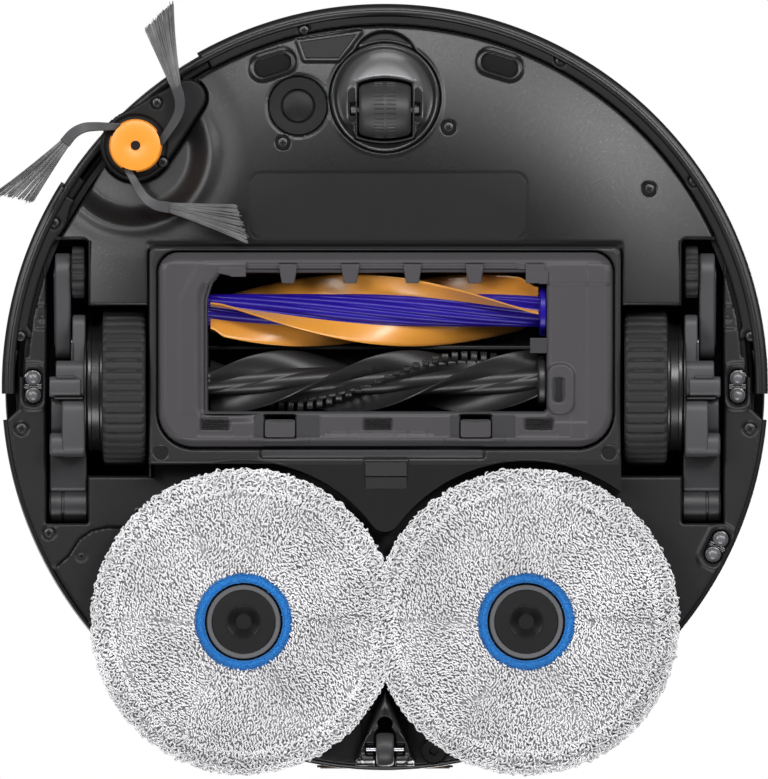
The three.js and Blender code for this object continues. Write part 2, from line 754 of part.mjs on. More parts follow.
function sideBrushHub() {
  const cap = turned(
    [
      [0, 7.6],
      [10.6, 7.6],
      [12.1, 9],
      [12.1, 14.4],
      [0, 14.4],
    ],
    32,
    SIDE_BRUSH.x,
    SIDE_BRUSH.y,
  );
  const slots = [0, 1, 2].map((i) => {
    const geometry = new THREE.BoxGeometry(9, 7.4, 3).translate(10.8, 0, 13.2);
    geometry.rotateZ(deg(SWEEPER.start + 120 * i));
    return solidOf(geometry.translate(SIDE_BRUSH.x, SIDE_BRUSH.y, 0));
  });
  return cut(cap, ...slots, postZ(SIDE_BRUSH.x, SIDE_BRUSH.y, 2, 0, 10, 16));
}

// One arm of the sweeper: a flat strip that leaves the hub, drops and widens into its bristles.
function sweeperArm(start) {
  const stations = [
    { r: 7, turn: 0, z: 14.2, width: 5, thick: 1.8 },
    { r: 13, turn: -2, z: 13.4, width: 5, thick: 1.8 },
    { r: 18, turn: -10, z: 10.5, width: 5.4, thick: 1.8 },
    { r: 24, turn: -24, z: 6.9, width: 5.6, thick: 2 },
    { r: 29, turn: -42, z: 5.2, width: 5, thick: 2.2 },
    { r: 43, turn: -56, z: 4, width: 8.4, thick: 1.8 },
    { r: 60, turn: -64, z: 2.4, width: 15.4, thick: 1 },
  ];
  const centres = stations.map(({ r, turn, z }) => {
    const angle = deg(start + turn);
    return new THREE.Vector3(r * Math.cos(angle), r * Math.sin(angle), z);
  });
  const positions = [];
  const indices = [];
  stations.forEach(({ width, thick }, i) => {
    const ahead = centres[Math.min(i + 1, centres.length - 1)];
    const behind = centres[Math.max(i - 1, 0)];
    const heading = ahead.clone().sub(behind).setZ(0).normalize();
    const across = new THREE.Vector3(-heading.y, heading.x, 0);
    for (const [u, v] of [
      [-1, -1],
      [1, -1],
      [1, 1],
      [-1, 1],
    ]) {
      const p = centres[i].clone().addScaledVector(across, (u * width) / 2);
      positions.push(SIDE_BRUSH.x + p.x, SIDE_BRUSH.y + p.y, p.z + (v * thick) / 2);
    }
    if (i === 0) return;
    const a = 4 * (i - 1);
    for (let k = 0; k < 4; k++) {
      const next = (k + 1) % 4;
      indices.push(a + k, a + next, a + 4 + next, a + k, a + 4 + next, a + 4 + k);
    }
  });
  const last = 4 * (stations.length - 1);
  indices.push(0, 2, 1, 0, 3, 2, last, last + 1, last + 2, last, last + 2, last + 3);
  const geometry = new THREE.BufferGeometry();
  geometry.setAttribute("position", new THREE.Float32BufferAttribute(positions, 3));
  geometry.setIndex(indices);
  return solidOf(geometry);
}

function sideBrushSweeper() {
  const arms = [0, 1, 2].map((i) => sweeperArm(SWEEPER.start + 120 * i));
  return join(postZ(SIDE_BRUSH.x, SIDE_BRUSH.y, 9.6, 14.7, 16, 24), ...arms);
}

// ---- Mops ----

function mopPad(x) {
  return turned(
    [
      [MOP.hole, PAD_Z],
      [MOP.pad - 1.5, PAD_Z],
      [MOP.pad, PAD_Z + 1.5],
      [MOP.pad, 6],
      [MOP.pad - 2, 7.8],
      [MOP.hole, 7.8],
    ],
    36,
    x,
    MOP.y,
  );
}

function mopHolder(x) {
  return turned(
    [
      [0, 4.4],
      [3.4, 4.4],
      [6.6, 1.8],
      [16.6, 2.2],
      [16.6, 8.1],
      [MOP.plate, 8.1],
      [MOP.plate, 10.6],
      [5, 12],
      [5, 26],
      [0, 26],
    ],
    36,
    x,
    MOP.y,
  );
}

function mopGearbox(x) {
  return cut(
    postZ(x, MOP.y, 19, DECK_Z + SHELL + GAP, 46, 28),
    postZ(x, MOP.y, 5 + GAP, 0, 26 + GAP, SMALL),
  );
}

function mopArm() {
  const pivot = { ...MOP_ARM_PIVOT, r: 12.3 };
  const hub = { x: MOP.x, y: MOP.y, r: 22 };
  const link = slab(linkShape(pivot, hub), DECK_Z - 0.2, DECK_Z + SHELL - GAP, 14);
  const pin = postZ(MOP_ARM_PIVOT.x, MOP_ARM_PIVOT.y, 4, DECK_Z, 34);
  return cut(join(link, pin), postZ(MOP.x, MOP.y, 6.5, 0, 40));
}

// ---- Top: turret, lid and buttons ----

function lidarHousing() {
  const base = turned(
    [
      [29, 58],
      [TURRET.r, 58],
      [TURRET.r, 65],
      [29, 65],
    ],
    MEDIUM,
    0,
    TURRET.y,
  );
  const cap = turned(
    [
      [0, 84],
      [TURRET.r, 84],
      [TURRET.r, 89.5],
      [TURRET.r - 2, 91],
      [0, 91.5],
    ],
    MEDIUM,
    0,
    TURRET.y,
  );
  const pillars = [90, 210, 330].map((angle) => {
    const [x, y] = [33.5 * Math.cos(deg(angle)), 33.5 * Math.sin(deg(angle))];
    return postZ(x, TURRET.y + y, 3, 60, 86, 12);
  });
  return join(base, cap, ...pillars);
}

function lidarHead() {
  const drum = postZ(0, TURRET.y, 27, 66, 82.5, 32);
  const window = box(-12, 12, TURRET.y + 22, TURRET.y + 30, 69, 80);
  return join(cut(drum, window), postZ(0, TURRET.y, 6, 56, 67));
}

function topButton(side) {
  return join(
    postZ(side * BUTTON.x, BUTTON.y, BUTTON.r, TOP_Z - 4, TOP_Z + 0.5, 24),
    postZ(side * BUTTON.x, BUTTON.y, 2.4, TOP_Z - 6.8, TOP_Z - 3, 12),
  );
}

function dustBox() {
  const { x, back, front, bottom, top } = DUST_BOX;
  const bin = slab(roundedRect(-x, x, back, front, 8), bottom, top, 4);
  const grip = slab(roundedRect(-24, 24, front - 18, front - 8, 4), top, top + 2.6, 4);
  return join(bin, grip);
}

// ---- Inside ----

function waterTank() {
  const outline = new THREE.Shape();
  const turn = Math.asin(112 / 158);
  outline.absarc(0, 0, 158, -Math.PI + turn, -turn);
  return slab(outline, 58, 81, 12);
}

function roundCell(x, y, r, z0, z1) {
  return postZ(x, y, r, z0, z1, 24);
}

function battery() {
  return slab(roundedRect(-64, 64, 67, 97, 5), 15, 41, 3);
}

function mainBoard() {
  const plate = slab(roundedRect(-72, 72, 78, 142, 6), 62, 64, 3);
  return join(plate, box(-30, -8, 98, 120, 64, 68), box(16, 34, 92, 106, 64, 71));
}

function suctionFan() {
  return join(roundCell(-84, -60, 24, 46, 76), box(-100, -68, -40, -28, 50, 66));
}

function carpetSensor() {
  const { x, y, r } = CARPET_SENSOR;
  return turned(
    [
      [0, 12.4],
      [6.4, 12.4],
      [6.6, 13.4],
      [8, 13.4],
      [8.4, 12.6],
      [r, 12.6],
      [r, 20],
      [0, 20],
    ],
    32,
    x,
    y,
  );
}

function cliffLens(at) {
  const along = deg(at.angle);
  const domes = [3.9, -3.9].map((offset) => {
    const geometry = new THREE.SphereGeometry(2.8, 10, 6);
    return solidOf(geometry.translate(at.x + offset * Math.cos(along), at.y + offset * Math.sin(along), 22.7));
  });
  return join(slab(lensSlot(at, 0), 22.6, 25.5, 6), ...domes);
}

// ---- Assembly ----

add(robot, "bottom_cover", "cover", bottomCover());
add(robot, "rear_deck", "deck", rearDeck());
add(robot, "rear_skirt", "wall", rearSkirt());
add(robot, "chassis_frame", "deck", chassisFrame());
add(robot, "top_cover", "wall", topCover());
add(robot, "brush_housing", "cover", brushHousing());
add(robot, "battery", "board", battery());
add(robot, "main_board", "board", mainBoard());
add(robot, "suction_fan", "hub", suctionFan());
add(robot, "water_tank", "smoke", waterTank());
add(robot, "roller_motor", "steel", postX(-60, 56, 14, 50, 98, 24));
add(robot, "rear_wheel_bracket", "cover", rearWheelBracket());
add(robot, "cliff_lens_right", "lens", cliffLens(LENS_SIDE));
add(robot, "cliff_lens_left", "lens", cliffLens({ ...LENS_SIDE, x: -LENS_SIDE.x }));
add(robot, "cliff_lens_rear", "lens", cliffLens(LENS_REAR));
add(robot, "carpet_sensor", "hub", carpetSensor());
add(robot, "charge_contact_right", "copper", contactBlock(1, 0));
add(robot, "charge_contact_left", "copper", contactBlock(-1, 0));

add(robot, "bumper", "wall", bumper());
add(robot, "bumper_strip", "strip", bumperStrip());
add(robot, "bumper_window", "smoke", bumperWindow());

add(robot, "top_lid", "wall", slab(lidShape(0), TOP_Z - 3 + GAP, TOP_Z + 0.3, 16));
add(robot, "dust_box", "smoke", dustBox());
add(robot, "power_button", "hub", topButton(-1));
add(robot, "home_button", "hub", topButton(1));
add(robot, "lidar_housing", "wall", lidarHousing());
add(robot, "lidar_head", "hub", lidarHead());

add(robot, "brush_cover", "grey", brushCover());
add(robot, "cover_latch_right", "grey", coverLatch(LATCH_X[0]));
add(robot, "cover_latch_left", "grey", coverLatch(LATCH_X[1]));
add(robot, "front_roller_core", "purple", rollerCore(ROLLER.front, 11.4));
add(robot, "front_roller_fins", "orange", twistedFins(ROLLER.front, 3, 200, -69, 79.6));
add(robot, "rear_roller_core", "rubber", rollerCore(ROLLER.rear, 11.6));
add(robot, "rear_roller_fins", "rubber", twistedFins(ROLLER.rear, 3, -230, -69, 79.6));

robot.add(wheelModule("left"), wheelModule("right"));

add(robot, "caster_dish", "rim", casterDish());
add(robot, "caster_wheel", "tyre", casterWheel());
add(robot, "caster_axle", "steel", postX(CASTER_WHEEL.y, CASTER_WHEEL.r, 1.6, -12.6, 12.6, 12));
add(robot, "rear_wheel", "tyre", rearWheel());

add(robot, "side_brush_arm", "deck", sideBrushArm());
add(robot, "side_brush_hub", "orange", sideBrushHub());
add(robot, "side_brush_sweeper", "bristle", sideBrushSweeper());

add(robot, "left_mop_pad", "pile", mopPad(-MOP.x));
add(robot, "left_mop_holder", "hub", mopHolder(-MOP.x));
add(robot, "left_mop_gearbox", "steel", mopGearbox(-MOP.x));
add(robot, "right_mop_pad", "pile", mopPad(MOP.x));
add(robot, "right_mop_holder", "hub", mopHolder(MOP.x));
add(robot, "right_mop_gearbox", "steel", mopGearbox(MOP.x));
add(robot, "right_mop_arm", "deck", mopArm());

export default robot;
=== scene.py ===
import math

import bmesh
import bpy
import numpy as np
from mathutils import Matrix, Vector


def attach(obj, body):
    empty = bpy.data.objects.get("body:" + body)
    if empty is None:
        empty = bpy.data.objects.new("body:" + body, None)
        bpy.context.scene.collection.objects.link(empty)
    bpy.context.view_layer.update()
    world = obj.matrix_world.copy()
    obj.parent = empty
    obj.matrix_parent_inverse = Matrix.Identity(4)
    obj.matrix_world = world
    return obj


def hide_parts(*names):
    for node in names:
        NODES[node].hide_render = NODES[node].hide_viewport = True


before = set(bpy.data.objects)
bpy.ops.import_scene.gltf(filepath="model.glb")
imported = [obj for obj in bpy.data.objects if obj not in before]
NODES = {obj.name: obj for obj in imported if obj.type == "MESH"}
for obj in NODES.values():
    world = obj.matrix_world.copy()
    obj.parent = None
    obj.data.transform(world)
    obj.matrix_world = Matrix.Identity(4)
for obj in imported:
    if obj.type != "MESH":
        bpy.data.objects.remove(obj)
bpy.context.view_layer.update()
MM = 0.001

# Millimetres in the row frame: +Z up, +Y front, +X the robot's right.
SIDE_HUB = (113.6, 110.0)
MOP_X, MOP_Y = 64.3, -106.8
CASTER_Y = 131.9
CASTER_AXLE = (126.3, 13.0)
WHEEL_AXLE = (0, 0, 36)
MODULE_PIVOT = (0, -54, 33.5)
LEG_PIVOT = (0, 20, 33)
LEG_AXLE = (0, 52.5, 27)
TURRET = (0, -68, 0)
BUTTON_Y = -132


def add(tree, kind, inputs=(), **options):
    """A new shader node. Each input takes a value, or a socket to be linked from."""
    node = tree.nodes.new("ShaderNode" + kind)
    for key, value in options.items():
        setattr(node, key, value)
    for key, value in dict(inputs).items():
        if isinstance(value, bpy.types.NodeSocket):
            tree.links.new(value, node.inputs[key])
        else:
            node.inputs[key].default_value = value
    return node


def mix_out(tree, share, first, second, kind):
    """The tree's output: the first shader where share is 0, the second where it is 1."""
    mix = add(tree, "MixShader", {0: share, 1: first.outputs[0], 2: second.outputs[0]})
    add(tree, kind, {0: mix.outputs[0]})


# ---- Camera, light and floor ----


def build_stage():
    scene = bpy.context.scene
    lens = bpy.data.cameras.new("camera")
    lens.sensor_width = 36
    lens.lens = 600
    camera = bpy.data.objects.new("camera", lens)
    scene.collection.objects.link(camera)
    scene.camera = camera
    high = 354.8 * MM  # what the frame's long side spans at the underside
    distance = high / 2 / (lens.sensor_width / 2 / lens.lens)
    camera.location = (0.45 * MM, -1.1 * MM, 10 * MM - distance)
    camera.rotation_euler = Matrix(((-1, 0, 0), (0, 1, 0), (0, 0, -1))).to_euler()
    lens.clip_start, lens.clip_end = 0.05, 60

    # the camera sees white round the object; everything else is lit by a faint fill
    world = bpy.data.worlds.new("world")
    scene.world = world
    world.use_nodes = True
    tree = world.node_tree
    tree.nodes.clear()
    seen = add(tree, "Background", {"Color": (1, 1, 1, 1), "Strength": 1.0})
    fill = add(tree, "Background", {"Color": (0.95, 0.97, 1, 1), "Strength": 0.13})
    mix_out(tree, add(tree, "LightPath").outputs["Is Camera Ray"], fill, seen, "OutputWorld")

    for name, where, size, power in (
            ("key_right", (1.35, 0.75, -1.0), (0.9, 0.9), 14),
            ("key_left", (-1.35, 0.75, -1.0), (0.9, 0.9), 15),
            ("key_back", (0.1, -1.6, -1.1), (1.4, 0.7), 25),
            ("sheen_left", (-0.62, 0.66, -1.36), (0.32, 0.32), 9),
            ("sheen_front", (0.05, 0.98, -1.3), (0.8, 0.3), 13),
            ("sheen_right", (0.85, 0.42, -1.3), (0.35, 0.4), 6),
            ("over", (-0.4, -0.5, 1.6), (1.2, 1.2), 30),
            ("side_over", (1.3, -0.9, 0.9), (0.8, 0.8), 16)):
        data = bpy.data.lights.new(name, "AREA")
        data.shape = "RECTANGLE"
        data.size, data.size_y = size
        data.energy = power
        light = bpy.data.objects.new(name, data)
        light.location = where
        aim = Vector((0, 0, 0.03)) - Vector(where)
        light.rotation_euler = aim.to_track_quat("-Z", "Y").to_euler()
        scene.collection.objects.link(light)

    # the floor is clear from below
    bpy.ops.mesh.primitive_plane_add(size=8, location=(0, 0, -0.0015))
    floor = bpy.context.object
    floor.name = "floor"
    paint = bpy.data.materials.new("floor")
    paint.use_nodes = True
    tree = paint.node_tree
    tree.nodes.clear()
    solid = add(tree, "BsdfDiffuse", {"Color": (0.82, 0.82, 0.81, 1)})
    clear = add(tree, "BsdfTransparent")
    mix_out(tree, add(tree, "NewGeometry").outputs["Backfacing"], solid, clear, "OutputMaterial")
    floor.data.materials.append(paint)
    for ray in ("diffuse", "glossy", "transmission", "volume_scatter", "shadow"):
        setattr(floor, f"visible_{ray}", False)


build_stage()


# ---- Materials ----


def linear(colour):
    return [(c / 255 / 12.92 if c <= 10 else ((c / 255 + 0.055) / 1.055) ** 2.4) for c in colour]


def material(name, colour, roughness, grain=0.35, bump=0.3, mottle=0.08, metallic=0.0, coat=0.0, rough_var=0.06,
             sheen=0.0, specular=0.5, speckle=0.0, stretch=(1, 1, 1)):
    """Moulded or woven surface: grain in mm, mottling of the colour, and roughness that varies a little."""
    found = bpy.data.materials.new(name)
    found.use_nodes = True
    tree = found.node_tree
    shader = tree.nodes["Principled BSDF"]
    for socket, value in (("Metallic", metallic), ("Coat Weight", coat), ("Coat Roughness", 0.15),
                          ("Sheen Weight", sheen), ("Specular IOR Level", specular)):
        shader.inputs[socket].default_value = value
    place = add(tree, "TexCoord").outputs["Object"]
    place = add(tree, "Mapping", {"Vector": place, "Scale": stretch}).outputs[0]

    def noise(scale, detail):
        return add(tree, "TexNoise", {"Scale": scale, "Detail": detail, "Vector": place}).outputs["Fac"]

    def remap(value, *ends):
        ends = zip(("From Min", "From Max", "To Min", "To Max"), ends)
        return add(tree, "MapRange", {"Value": value, **dict(ends)}).outputs[0]

    wide, fine = noise(28, 3), noise(1 / (grain * MM), 2)
    dull, bright = ([min(1, c * (1 + k)) for c in linear(colour)] + [1] for k in (-mottle, mottle))
    paint = add(tree, "Mix", {"A": dull, "B": bright, "Factor": remap(wide, 0.3, 0.7)}, data_type="RGBA")
    paint = paint.outputs["Result"]
    if speckle:
        dots = remap(fine, 0.35, 0.65, 1 - speckle, 1 + speckle)
        paint = add(tree, "VectorMath", {0: paint, "Scale": dots}, operation="SCALE").outputs[0]
    tree.links.new(paint, shader.inputs["Base Color"])
    rough = remap(fine, 0.3, 0.7, max(0.02, roughness - rough_var), min(1, roughness + rough_var))
    tree.links.new(rough, shader.inputs["Roughness"])
    if bump:
        dent = add(tree, "Bump", {"Strength": bump, "Distance": grain * MM * 0.35, "Height": fine})
        tree.links.new(dent.outputs[0], shader.inputs["Normal"])
    return found


LOOK = {
    "cover": material("cover_black", (15, 15, 16), 0.33, grain=0.45, bump=0.2, speckle=0.14, specular=0.36),
    "deck": material("deck_black", (17, 17, 18), 0.46, grain=0.4, bump=0.22, speckle=0.1, specular=0.34),
    "trim": material("trim_black", (20, 20, 21), 0.44, grain=0.4, bump=0.25, speckle=0.1, specular=0.4),
    # the black plastic painted darker still: painted shade for hollows, wells, pockets and insides
    "inner": material("inner_black_painted_shade", (9, 9, 10), 0.6, grain=0.6, bump=0.2, specular=0.2),
    "wall": material("wall_black", (18, 18, 19), 0.36, grain=0.3, bump=0.12, specular=0.4),
    "flange": material("flange_black", (14, 14, 15), 0.48, grain=0.4, bump=0.25, speckle=0.06, specular=0.25),
    "strip": material("strip_rubber", (52, 52, 54), 0.6, grain=1.2, bump=0, rough_var=0, specular=0.25),
    "grey": material("cover_grey", (58, 56, 58), 0.44, grain=0.3, bump=0.1, mottle=0.03, specular=0.28),
    # the cover grey painted darker: painted shade on the mouth wall, latch pockets, notch and latch lips, and
    # the colour of the latch pointer mark
    "grey_shade_and_mark": material("cover_grey_shade_and_mark", (44, 43, 45), 0.5, grain=0.3, bump=0.1, mottle=0.04,
                          specular=0.28),
    "gear": material("gear_grey", (58, 58, 60), 0.48, grain=0.35, bump=0.2, mottle=0.04, specular=0.35),
    "gear_dark": material("gear_dark", (36, 36, 38), 0.45, grain=0.35, bump=0.2, mottle=0.04, specular=0.4),
    "tyre": material("tyre_rubber", (30, 30, 31), 0.66, grain=0.3, bump=0.35, mottle=0.1, speckle=0.1,
                     specular=0.3),
    "rim": material("rim_black", (17, 17, 18), 0.3, grain=0.3, bump=0.05),
    "caster": material("caster_black", (42, 42, 43), 0.46, grain=0.35, bump=0.1, specular=0.35),
    "orange": material("hub_orange", (216, 132, 41), 0.38, grain=0.3, bump=0.05, mottle=0.02, specular=0.4),
    "amber": material("fin_amber", (186, 124, 42), 0.32, coat=0.15, grain=0.3, bump=0.05, mottle=0.1,
                      sheen=0.1),
    "purple": material("core_purple", (25, 9, 116), 0.32, grain=0.3, bump=0.04, mottle=0.05, specular=0.22),
    "rubber": material("fin_rubber", (27, 27, 28), 0.38, grain=0.35, bump=0.06, mottle=0.1, specular=0.4),
    "bristle": material("bristle_grey", (100, 100, 101), 0.45, grain=0.2, bump=0.1, mottle=0.35, specular=0.3,
                        stretch=(3, 3, 3)),
    "bristle_black": material("bristle_black", (16, 16, 16), 0.5, grain=0.2, bump=0.1, specular=0.3),
    "sleeve": material("sleeve_rubber", (48, 48, 50), 0.42, grain=0.3, bump=0.15, mottle=0.06),
    "pile": material("pile_white", (209, 208, 210), 0.9, grain=0.35, bump=0.4, mottle=0.14, sheen=0.15),
    # the cloth under the loops: the white microfibre painted grey, a painted shade that shows between them
    "pile_base_painted_shade": material("pile_base_painted_shade", (138, 137, 140), 0.95, grain=0.5, bump=0.6, mottle=0.1, sheen=0.1),
    "felt": material("felt_blue", (5, 101, 171), 0.85, grain=0.3, bump=0.6, mottle=0.12, sheen=0.1),
    "hub_ring": material("hub_ring_grey", (78, 78, 80), 0.42, grain=0.3, bump=0.12, mottle=0.03),
    "hub": material("hub_black", (20, 20, 21), 0.36, grain=0.35, bump=0.12, specular=0.4),
    "steel": material("steel", (165, 166, 170), 0.28, grain=0.5, bump=0.05, metallic=1.0, stretch=(1, 12, 12)),
    "screw": material("screw_black", (60, 60, 62), 0.34, grain=0.3, bump=0.1, metallic=0.6),
    "lens": material("lens_clear", (84, 84, 87), 0.3, grain=0.8, bump=0.0, coat=0.25),
    "panel": material("panel_black", (17, 17, 18), 0.5, grain=0.4, bump=0.3, specular=0.22),
    # black for the cliff windows, and painted shade in screw recesses and gaps
    "black_window_and_shade": material("window_black_and_painted_shade", (6, 6, 7), 0.6, grain=0.5, bump=0.1, specular=0.15),
    "glass": material("window_dark", (8, 8, 10), 0.1, grain=0.6, bump=0.0, coat=0.6),
    "brass": material("contact_brass", (205, 170, 110), 0.25, grain=0.4, bump=0.04, metallic=1.0),
    "board": material("board_green", (28, 84, 52), 0.5, grain=0.5, bump=0.2),
    "smoke": material("smoke_plastic", (40, 43, 46), 0.2, grain=0.5, bump=0.03, coat=0.4),
}


# ---- Signed distances to flat shapes, in mm, negative inside ----


def circle(X, Y, x, y, r):
    return np.hypot(X - x, Y - y) - r


def rbox(X, Y, x0, x1, y0, y1, r=0.0, angle=0.0, low_r=None):
    """A box with round corners of radius r, or of low_r on the corners at y0."""
    cx, cy = (x0 + x1) / 2, (y0 + y1) / 2
    c, s = math.cos(math.radians(angle)), math.sin(math.radians(angle))
    u = (X - cx) * c + (Y - cy) * s
    v = -(X - cx) * s + (Y - cy) * c
    radius = r if low_r is None else np.where(v < 0, low_r, r)
    qx = np.abs(u) - (x1 - x0) / 2 + radius
    qy = np.abs(v) - (y1 - y0) / 2 + radius
    return np.hypot(np.maximum(qx, 0), np.maximum(qy, 0)) + np.minimum(np.maximum(qx, qy), 0) - radius


def poly(X, Y, points, r=0.0):
    d = np.full(X.shape, 1e9)
    sign = np.ones(X.shape)
    n = len(points)
    for i in range(n):
        (ax, ay), (bx, by) = points[i], points[i - 1]
        ex, ey = bx - ax, by - ay
        wx, wy = X - ax, Y - ay
        t = np.clip((wx * ex + wy * ey) / (ex * ex + ey * ey), 0, 1)
        d = np.minimum(d, (wx - ex * t) ** 2 + (wy - ey * t) ** 2)
        c1, c2, c3 = ay <= Y, by > Y, ex * wy > ey * wx
        flip = (c1 & c2 & c3) | (~c1 & ~c2 & ~c3)
        sign = np.where(flip, -sign, sign)
    return sign * np.sqrt(d) - r


def link(X, Y, ax, ay, ra, bx, by, rb):
    """Round two circles and the tangents between them."""
    length = math.hypot(bx - ax, by - ay)
    ux, uy = (bx - ax) / length, (by - ay) / length
    lean = math.acos((ra - rb) / length)
    corners = []
    for side in (1, -1):
        c, s = math.cos(side * lean), math.sin(side * lean)
        nx, ny = ux * c - uy * s, ux * s + uy * c
        pair = [(ax + ra * nx, ay + ra * ny), (bx + rb * nx, by + rb * ny)]
        corners += pair if side > 0 else pair[::-1]
    return np.minimum.reduce([circle(X, Y, ax, ay, ra), circle(X, Y, bx, by, rb), poly(X, Y, corners)])


def step(D, soft=0.5):
    """1 inside, 0 outside, turning over the soft width about the edge."""
    t = np.clip(0.5 - D / (2 * soft), 0, 1)
    return t * t * (3 - 2 * t)


def ease(t):
    t = np.clip(t, 0, 1)
    return t * t * (3 - 2 * t)


# ---- Meshes ----


def piece(name, body, look, vertices, faces):
    """A smooth mesh piece from points in mm that rides on a body."""
    mesh = bpy.data.meshes.new(name)
    mesh.from_pydata(np.asarray(vertices, float) * MM, [], faces)
    mesh.update()
    obj = bpy.data.objects.new(name, mesh)
    bpy.context.scene.collection.objects.link(obj)
    mesh.materials.append(LOOK[look] if isinstance(look, str) else look)
    soften(mesh)
    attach(obj, body)
    return obj


def soften(mesh, sharp=None):
    """Smooth shading, with hard edges where faces meet at more than the sharp angle."""
    mesh.polygons.foreach_set("use_smooth", np.ones(len(mesh.polygons), bool))
    if sharp is not None:
        mesh.set_sharp_from_angle(angle=math.radians(sharp))


def tag(obj, slot, node=None):
    """Hide the CAD node that a piece stands for, if one is given. The slot, what the piece is made of, is not
    used.
    """
    if node:
        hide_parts(node)
    return obj


def hoops(count, n, base=0):
    """Quads between count closed rings of n points each."""
    return [(low + i, low + (i + 1) % n, low + n + (i + 1) % n, low + n + i)
            for low in range(base, base + (count - 1) * n, n) for i in range(n)]


def relief(name, body, look, extent, cell, shape, height, fillet=0.8, wall=3.0, slope=6.0):
    """The lower face of a moulding: a sheet over shape, at a varying height, with rounded edges and walls.
    Height is in mm, up; the face looks down."""
    x0, x1, y0, y1 = extent
    X, Y = np.meshgrid(np.arange(x0, x1 + cell, cell), np.arange(y0, y1 + cell, cell))
    D = shape(X, Y)
    Z = np.broadcast_to(height(X, Y), X.shape).astype(float)
    t = np.clip(D + fillet, 0, fillet)
    Z = Z + fillet - np.sqrt(np.maximum(fillet**2 - t**2, 0)) + np.clip(D, 0, None) * slope
    kept = D < (wall - fillet) / slope + 0.3 * cell
    quads = kept[:-1, :-1] & kept[:-1, 1:] & kept[1:, 1:] & kept[1:, :-1]
    used = np.zeros(X.shape, bool)
    for rows in (slice(None, -1), slice(1, None)):
        for columns in (slice(None, -1), slice(1, None)):
            used[rows, columns] |= quads
    index = np.full(X.shape, -1)
    index[used] = np.arange(used.sum())
    i, j = np.nonzero(quads)
    faces = np.stack([index[i, j], index[i + 1, j], index[i + 1, j + 1], index[i, j + 1]], 1)
    vertices = np.stack([X[used], Y[used], Z[used]], 1)
    return piece(name, body, look, vertices, faces.tolist())


def weld(obj, sharp=35, turned=False, fill=False):
    """Join doubled points, close a lathed piece's open ends if asked, and face all faces outwards."""
    edit = bmesh.new()
    edit.from_mesh(obj.data)
    bmesh.ops.remove_doubles(edit, verts=edit.verts, dist=1e-6)
    if turned:
        bmesh.ops.dissolve_degenerate(edit, dist=1e-7, edges=edit.edges)
        holes = [e for e in edit.edges if e.is_boundary]
        if holes and fill:
            bmesh.ops.holes_fill(edit, edges=holes, sides=0)
    bmesh.ops.recalc_face_normals(edit, faces=edit.faces)
    edit.to_mesh(obj.data)
    edit.free()
    soften(obj.data, sharp)
    return obj


def lathe(name, body, look, profile, at, axis="Z", segments=96, sharp=35, radial=None):
    """A profile of (radius, along) turned about an axis through at. radial(angles, along, r) adds to r."""
    rows = []
    angles = np.linspace(0, 2 * math.pi, segments, endpoint=False)
    for r, along in profile:
        radii = np.full(segments, float(r))
        if radial is not None and r > 0:
            radii = radii + radial(angles, along, r)
        c, s = radii * np.cos(angles), radii * np.sin(angles)
        a = np.full(segments, float(along))
        rows.append(np.stack([c, s, a], 1) if axis == "Z" else np.stack([a, c, s], 1))
    obj = piece(name, body, look, np.concatenate(rows) + np.array(at), hoops(len(profile), segments))
    open_ends = max(profile[0][0], profile[-1][0]) > 0.01 and profile[0] != profile[-1]
    return weld(obj, sharp, True, open_ends)


def loft(name, body, look, rows, sharp, flip=(False, True)):
    """Rings of points joined by quads, with an end cap at each end, flipped where asked."""
    count, n = len(rows), len(rows[0])
    ends = [tuple(range(n)), tuple(range((count - 1) * n, count * n))]
    caps = [end[::-1] if turn else end for end, turn in zip(ends, flip)]
    obj = piece(name, body, look, [point for row in rows for point in row], hoops(count, n) + caps)
    return weld(obj, sharp)


def ring_sweep(name, body, look, profile, a0, a1, sharp=35, per=0.75):
    """A closed profile of (radius, z) swept about the body's centre from angle a0 to a1, with end caps."""
    angles = np.radians(np.linspace(a0, a1, max(3, int(abs(a1 - a0) / per))))
    rows = [[(r * math.cos(a), r * math.sin(a), z) for r, z in profile] for a in angles]
    return loft(name, body, look, rows, sharp)


def bevel(obj, width, segments=3, angle=35):
    modifier = obj.modifiers.new("bevel", "BEVEL")
    modifier.width = width * MM
    modifier.segments = segments
    modifier.limit_method = "ANGLE"
    modifier.angle_limit = math.radians(angle)
    modifier.harden_normals = True
    return obj


def block(name, body, look, x0, x1, y0, y1, z0, z1, edge=0.5, segments=3):
    """A moulded block with rounded edges."""
    vertices = [(x, y, z) for x in (x0, x1) for y in (y0, y1) for z in (z0, z1)]
    faces = [(0, 1, 3, 2), (4, 6, 7, 5), (0, 4, 5, 1), (2, 3, 7, 6), (0, 2, 6, 4), (1, 5, 7, 3)]
    return bevel(piece(name, body, look, vertices, faces), edge, segments)


def prism(name, body, look, outline, low, high, plane="XY", edge=0.5, segments=2):
    """An outline pushed along the axis left out of plane, with rounded edges."""
    order = {"XY": (0, 1, 2), "YZ": (2, 0, 1), "XZ": (0, 2, 1)}[plane]
    n = len(outline)
    points = [(u, v, w) for w in (low, high) for u, v in outline]
    faces = [tuple(range(n)), tuple(range(n, 2 * n))]
    faces += [(i, (i + 1) % n, n + (i + 1) % n, n + i) for i in range(n)]
    obj = weld(piece(name, body, look, [[point[k] for k in order] for point in points], faces), 30)
    return bevel(obj, edge, segments) if edge else obj


def arc(cx, cy, r, a0, a1, count=16):
    turns = [math.radians(a) for a in np.linspace(a0, a1, count)]
    return [(cx + r * math.cos(a), cy + r * math.sin(a)) for a in turns]


def rounded(u0, u1, v0, v1, r, count=6):
    """The outline of a box with round corners."""
    return (arc(u1 - r, v1 - r, r, 0, 90, count) + arc(u0 + r, v1 - r, r, 90, 180, count)
            + arc(u0 + r, v0 + r, r, 180, 270, count) + arc(u1 - r, v0 + r, r, 270, 360, count))


